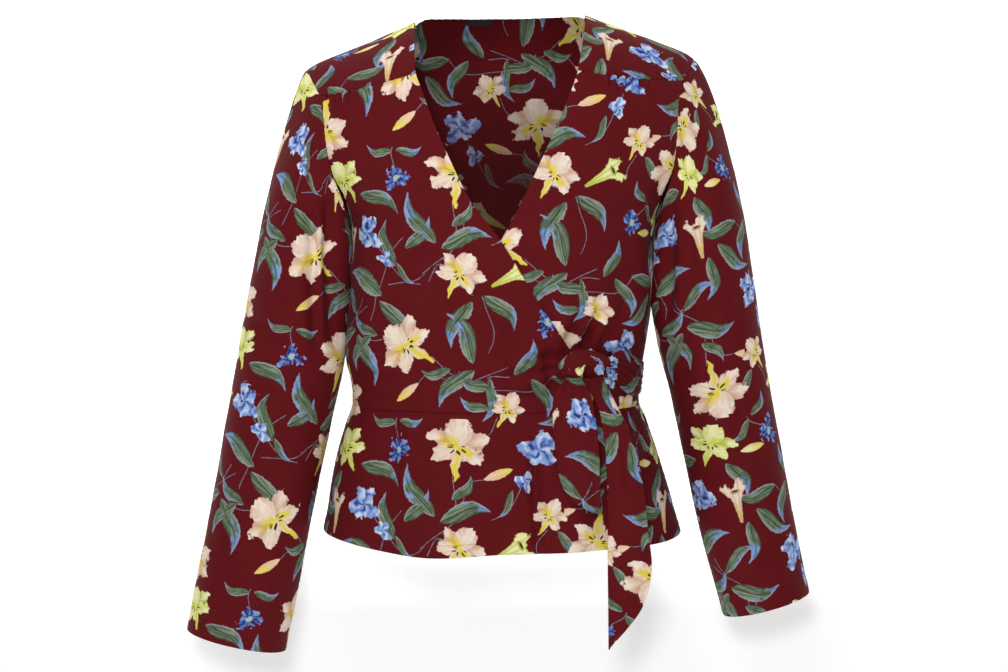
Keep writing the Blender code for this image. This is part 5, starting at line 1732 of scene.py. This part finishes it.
def make_sash(offset):
    """A band over the side seam, gathered towards both of its ends."""
    start, end = SASH.key[-1], SASH.key[0] - 0.006
    s = np.linspace(0, 1, 44)[None, :]
    r = np.linspace(0, 1, 61)[:, None]
    x = start + (end - start) * s + 0 * r
    low, high = SASH.at(x, "low"), SASH.at(x, "high")
    z = low + (high - low) * r
    angle = angle_at(x, z)
    base = torso(angle, z)
    normals, flip = facing_out(base, normals_of(base), body_middle(base))
    swell = np.sin(math.pi * r) ** 0.5
    phase = 2 * math.pi * SASH_GATHERS * (r + 0.05 * np.sin(5 * r + 2 * s)) + 2.6 * s
    gathers = 0.0013 * (np.sin(phase) + 0.4 * np.sin(1.9 * phase + 1)) * swell * (0.35 + 0.65 * s)
    lift = SASH.at(x, "lift") + gathers + 0.0024 * np.sin(math.pi * r) * (0.4 + 0.6 * s)
    lift -= 0.0020 * (1 - smoothstep(np.minimum(r, 1 - r) / 0.08))
    points = base + normals * lift[..., None]
    cloth = np.stack([x * 2.3, z * 1.25], axis=-1)
    return cloth_piece("sash", (Grid(points, cloth, flip),), offset)


make_sash((0.21, 0.55))

# %% Bend a flattened tube along a path for the knot
Tube = namedtuple("Tube", "path half_width half_depth creases seed")
KNOT_TUBES = (
    Tube(((0.0835, -0.3500, 0.0100), (0.0805, -0.3570, 0.0185), (0.0770, -0.3680, 0.0205),
          (0.0745, -0.3790, 0.0150)), (0.0075, 0.0100, 0.0105, 0.0090), 0.0050, 5, 1.0),
    Tube(((0.0900, -0.3490, 0.0100), (0.0945, -0.3570, 0.0175), (0.0970, -0.3680, 0.0190),
          (0.0975, -0.3800, 0.0140)), (0.0075, 0.0100, 0.0105, 0.0105), 0.0050, 5, 2.0),
    Tube(((0.0640, -0.3735, 0.0060), (0.0685, -0.3630, 0.0150), (0.0775, -0.3555, 0.0225),
          (0.0880, -0.3525, 0.0240), (0.0985, -0.3560, 0.0215), (0.1075, -0.3625, 0.0160),
          (0.1130, -0.3690, 0.0100)), (0.0060, 0.0080, 0.0085, 0.0080, 0.0090, 0.0100, 0.0105),
         0.0050, 4, 3.0),
)


def smooth_path(values, count):
    """A curve through the values, as arrays."""
    values = np.asarray(values, dtype=float)
    t = np.linspace(0, len(values) - 1, count)
    tangents = np.gradient(values, axis=0)
    i = np.clip(t.astype(int), 0, len(values) - 2)
    part = (t - i).reshape(-1, *[1] * (values.ndim - 1))
    return hermite(part, values[i], tangents[i], values[i + 1], tangents[i + 1])


def tube_grid(tube, rows=46, columns=44):
    """A flattened, creased tube along its path, whose points say how far it is off the form."""
    path = smooth_path(tube.path, rows)
    width = smooth_path(tube.half_width, rows)[:, None]
    x, z, lift = path.T
    y = torso(angle_at(x, z), z)[:, 1] - lift
    middle = np.stack([x, y, z], axis=-1)
    tangent = unit(np.gradient(middle, axis=0))
    side = unit(np.cross(tangent, (0, -1, 0)))
    front = unit(np.cross(side, tangent))
    phi = np.linspace(0, 2 * math.pi, columns + 1)[None, :]
    t = np.linspace(0, 1, rows)[:, None]
    crease = (np.sin(tube.creases * phi + 3 * t + tube.seed)
              + 0.5 * np.sin((tube.creases * 2 + 1) * phi - 4 * t + 2 * tube.seed))
    across = width * np.cos(phi) * (1 + 0.06 * crease)
    thick = tube.half_depth * np.sin(phi) * (1 + 0.17 * crease)
    points = middle[:, None] + side[:, None] * across[..., None] + front[:, None] * thick[..., None]
    points[:, -1] = points[:, 0]
    _, flip = facing_out(points, normals_of(points, around=True), middle[:, None])
    cloth = np.stack([distances(points, 1) * 1.3, distances(points, 0) * 1.2 + tube.seed * 0.09],
                     axis=-1)
    return Grid(points, cloth, flip, None, True)


cloth_piece("tie_knot", [tube_grid(tube) for tube in KNOT_TUBES], (0.115, 0.03))

# %% Make the two tie ends
LONG_END = Table("down left right y", (
    (0.000, 0.0850, 0.1080, -0.1130),
    (0.030, 0.1020, 0.1225, -0.1085),
    (0.060, 0.1080, 0.1370, -0.1120),
    (0.110, 0.1115, 0.1490, -0.1190),
    (0.160, 0.1122, 0.1545, -0.1235),
    (0.200, 0.1124, 0.1580, -0.1245),
    (0.240, 0.1130, 0.1480, -0.1235),
    (0.262, 0.1132, 0.1330, -0.1225),
    (0.283, 0.1134, 0.1150, -0.1220)))
SHORT_END = Table("down left right y", (
    (0.000, 0.0690, 0.0835, -0.1165),
    (0.015, 0.0575, 0.0930, -0.1150),
    (0.045, 0.0550, 0.1000, -0.1150),
    (0.080, 0.0585, 0.1035, -0.1195),
    (0.110, 0.0640, 0.1035, -0.1235),
    (0.128, 0.0760, 0.1045, -0.1255),
    (0.140, 0.0970, 0.1050, -0.1262)))
LONG_TOP_Z, SHORT_TOP_Z = -0.3745, -0.3735


def make_end(name, table, top_z, curl, columns, folds, offset, seed):
    """A hanging end: pleated where it leaves the knot, smooth and a little curled below."""
    length = table.key[-1]
    down = length * lines(length, spacing=0.0026)[:, None]
    s = np.linspace(0, 1, columns)[None, :]
    r = down / length
    left, right = table.at(down, "left"), table.at(down, "right")
    x = left + (right - left) * s
    bow = curl * (1 - (2 * s - 1) ** 2) * smoothstep(r * 3 + 0.2)
    y = table.at(down, "y") - bow + 0.02 * np.sin(2.2 * math.pi * r) * (s - 0.5) * 0.3
    phase = 2 * math.pi * folds * (s + 0.06 * np.sin(4 * s + seed))
    pleat = np.sin(phase + 1.2 * r) + 0.35 * np.sin(2.1 * phase + seed)
    fade = np.exp(-down / 0.045)
    y = y - 0.0016 * pleat * fade - 0.0007 * np.sin(phase * 0.5 + seed + 5 * r) * (1 - fade)
    z = top_z - down + 0 * s
    rim = np.minimum(s, 1 - s) * (right - left)
    y = y + 0.0004 * np.exp(-((rim - 0.0035) / 0.0009) ** 2) + cloth_waves(x, z, seed)
    points = np.stack([x, y, z], axis=-1)
    _, flip = facing_out(points, normals_of(points), points + (0, 0.1, 0))
    cloth = np.stack([x * (1 + 0.5 * fade), z], axis=-1)
    return cloth_piece(name, (Grid(points, cloth, flip),), offset)


make_end("tie_long_end", LONG_END, LONG_TOP_Z, curl=0.004, columns=27, folds=3.5,
         offset=(0.06, 0.155), seed=41.0)
make_end("tie_short_end", SHORT_END, SHORT_TOP_Z, curl=0.003, columns=25, folds=3.0,
         offset=(0.46, 0.02), seed=42.0)

# %% [markdown]
# ## The neck label
#
# A small woven tab is caught in the neck's edge inside the back, and it carries no words. It is
# a ribbon folded in two. It follows the cloth behind it, so a flat grid is added at the
# ribbon's size, its lower half is turned up behind, and each of its points is sent back along
# a ray until it meets the cloth.

# %% Fold the label against the inside of the back
LABEL_WIDTH, LABEL_HEIGHT, LABEL_CLOTH = 0.0280, 0.0062, 0.00025
LABEL_MIDDLE = -0.0235        # to the wearer's right of the centre back
LABEL_DROP = 0.0012           # its top below the neck's edge
LABEL_GAP, LABEL_FOLD = 0.0004, 0.0007

neck_heights = [v.co.z for v in back_piece.data.vertices
                if abs(v.co.x - LABEL_MIDDLE) < LABEL_WIDTH / 2 and v.co.z > -0.02]
label_top = max(neck_heights) - LABEL_DROP
bpy.ops.object.select_all(action="DESELECT")
bpy.ops.mesh.primitive_grid_add(
    x_subdivisions=18, y_subdivisions=14, size=1, rotation=(math.pi / 2, 0, 0),
    location=(LABEL_MIDDLE, 0, label_top - LABEL_HEIGHT))
label = bpy.context.object
label.name = label.data.name = "neck_label"
label.scale = (LABEL_WIDTH, LABEL_HEIGHT * 2, 1)
bpy.ops.object.transform_apply(location=True, rotation=True, scale=True)
for vertex in label.data.vertices:
    along = (label_top - vertex.co.z) / LABEL_HEIGHT
    vertex.co.z = label_top - LABEL_HEIGHT * (1 - abs(along - 1))
    met, place, _, _ = back_piece.ray_cast(vertex.co, (0, 1, 0))
    assert met, "the label hangs past the cloth"
    vertex.co.y = place.y - LABEL_GAP - LABEL_FOLD * min(max((1.1 - along) / 0.2, 0), 1)
tab = label.modifiers.new("tab", "SOLIDIFY")
tab.thickness, tab.offset = LABEL_CLOTH, 0
bpy.ops.object.modifier_apply(modifier="tab")
print("label from", round(label_top * 1000, 1), "mm down by", LABEL_HEIGHT * 1000, "mm")

# %% Weave the label
SATIN_DARK, SATIN_PALE = (0.010, 0.009, 0.011), (0.030, 0.027, 0.031)
SATIN_THREAD = 0.0004

satin = Paint("label_satin")
place = satin.make("ShaderNodeTexCoord", None, None, out="Object")
across, _, up = satin.split(place)
rib = (across * (2 * math.pi / SATIN_THREAD)).math("SINE")
step = (up * (2 * math.pi / SATIN_THREAD)).math("SINE")
woven = rib * 0.5 + step * 0.25 + satin.grain(place, 400.0, 1.0)
raised = satin.make("ShaderNodeBump", None,
                    {"Strength": 0.2, "Distance": 0.0002, "Height": woven})
satin.finish(Base_Color=satin.colour(clamped(woven * 0.5 + 0.2), SATIN_DARK, SATIN_PALE),
             Roughness=0.48, Normal=raised, Specular_IOR_Level=0.3)
label.data.materials.append(satin.material)
print(satin.material.name)
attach(label, "root")

# %% [markdown]
# ## Finish
#
# Last, the triangles of every mesh in the scene are counted, with the solids.

# %% Count the triangles and finish
meshes = [thing.data for thing in bpy.context.scene.objects if thing.type == "MESH"]
total = sum(len(face.vertices) - 2 for mesh in meshes for face in mesh.polygons)
print(total, "triangles in the scene, with the solids")
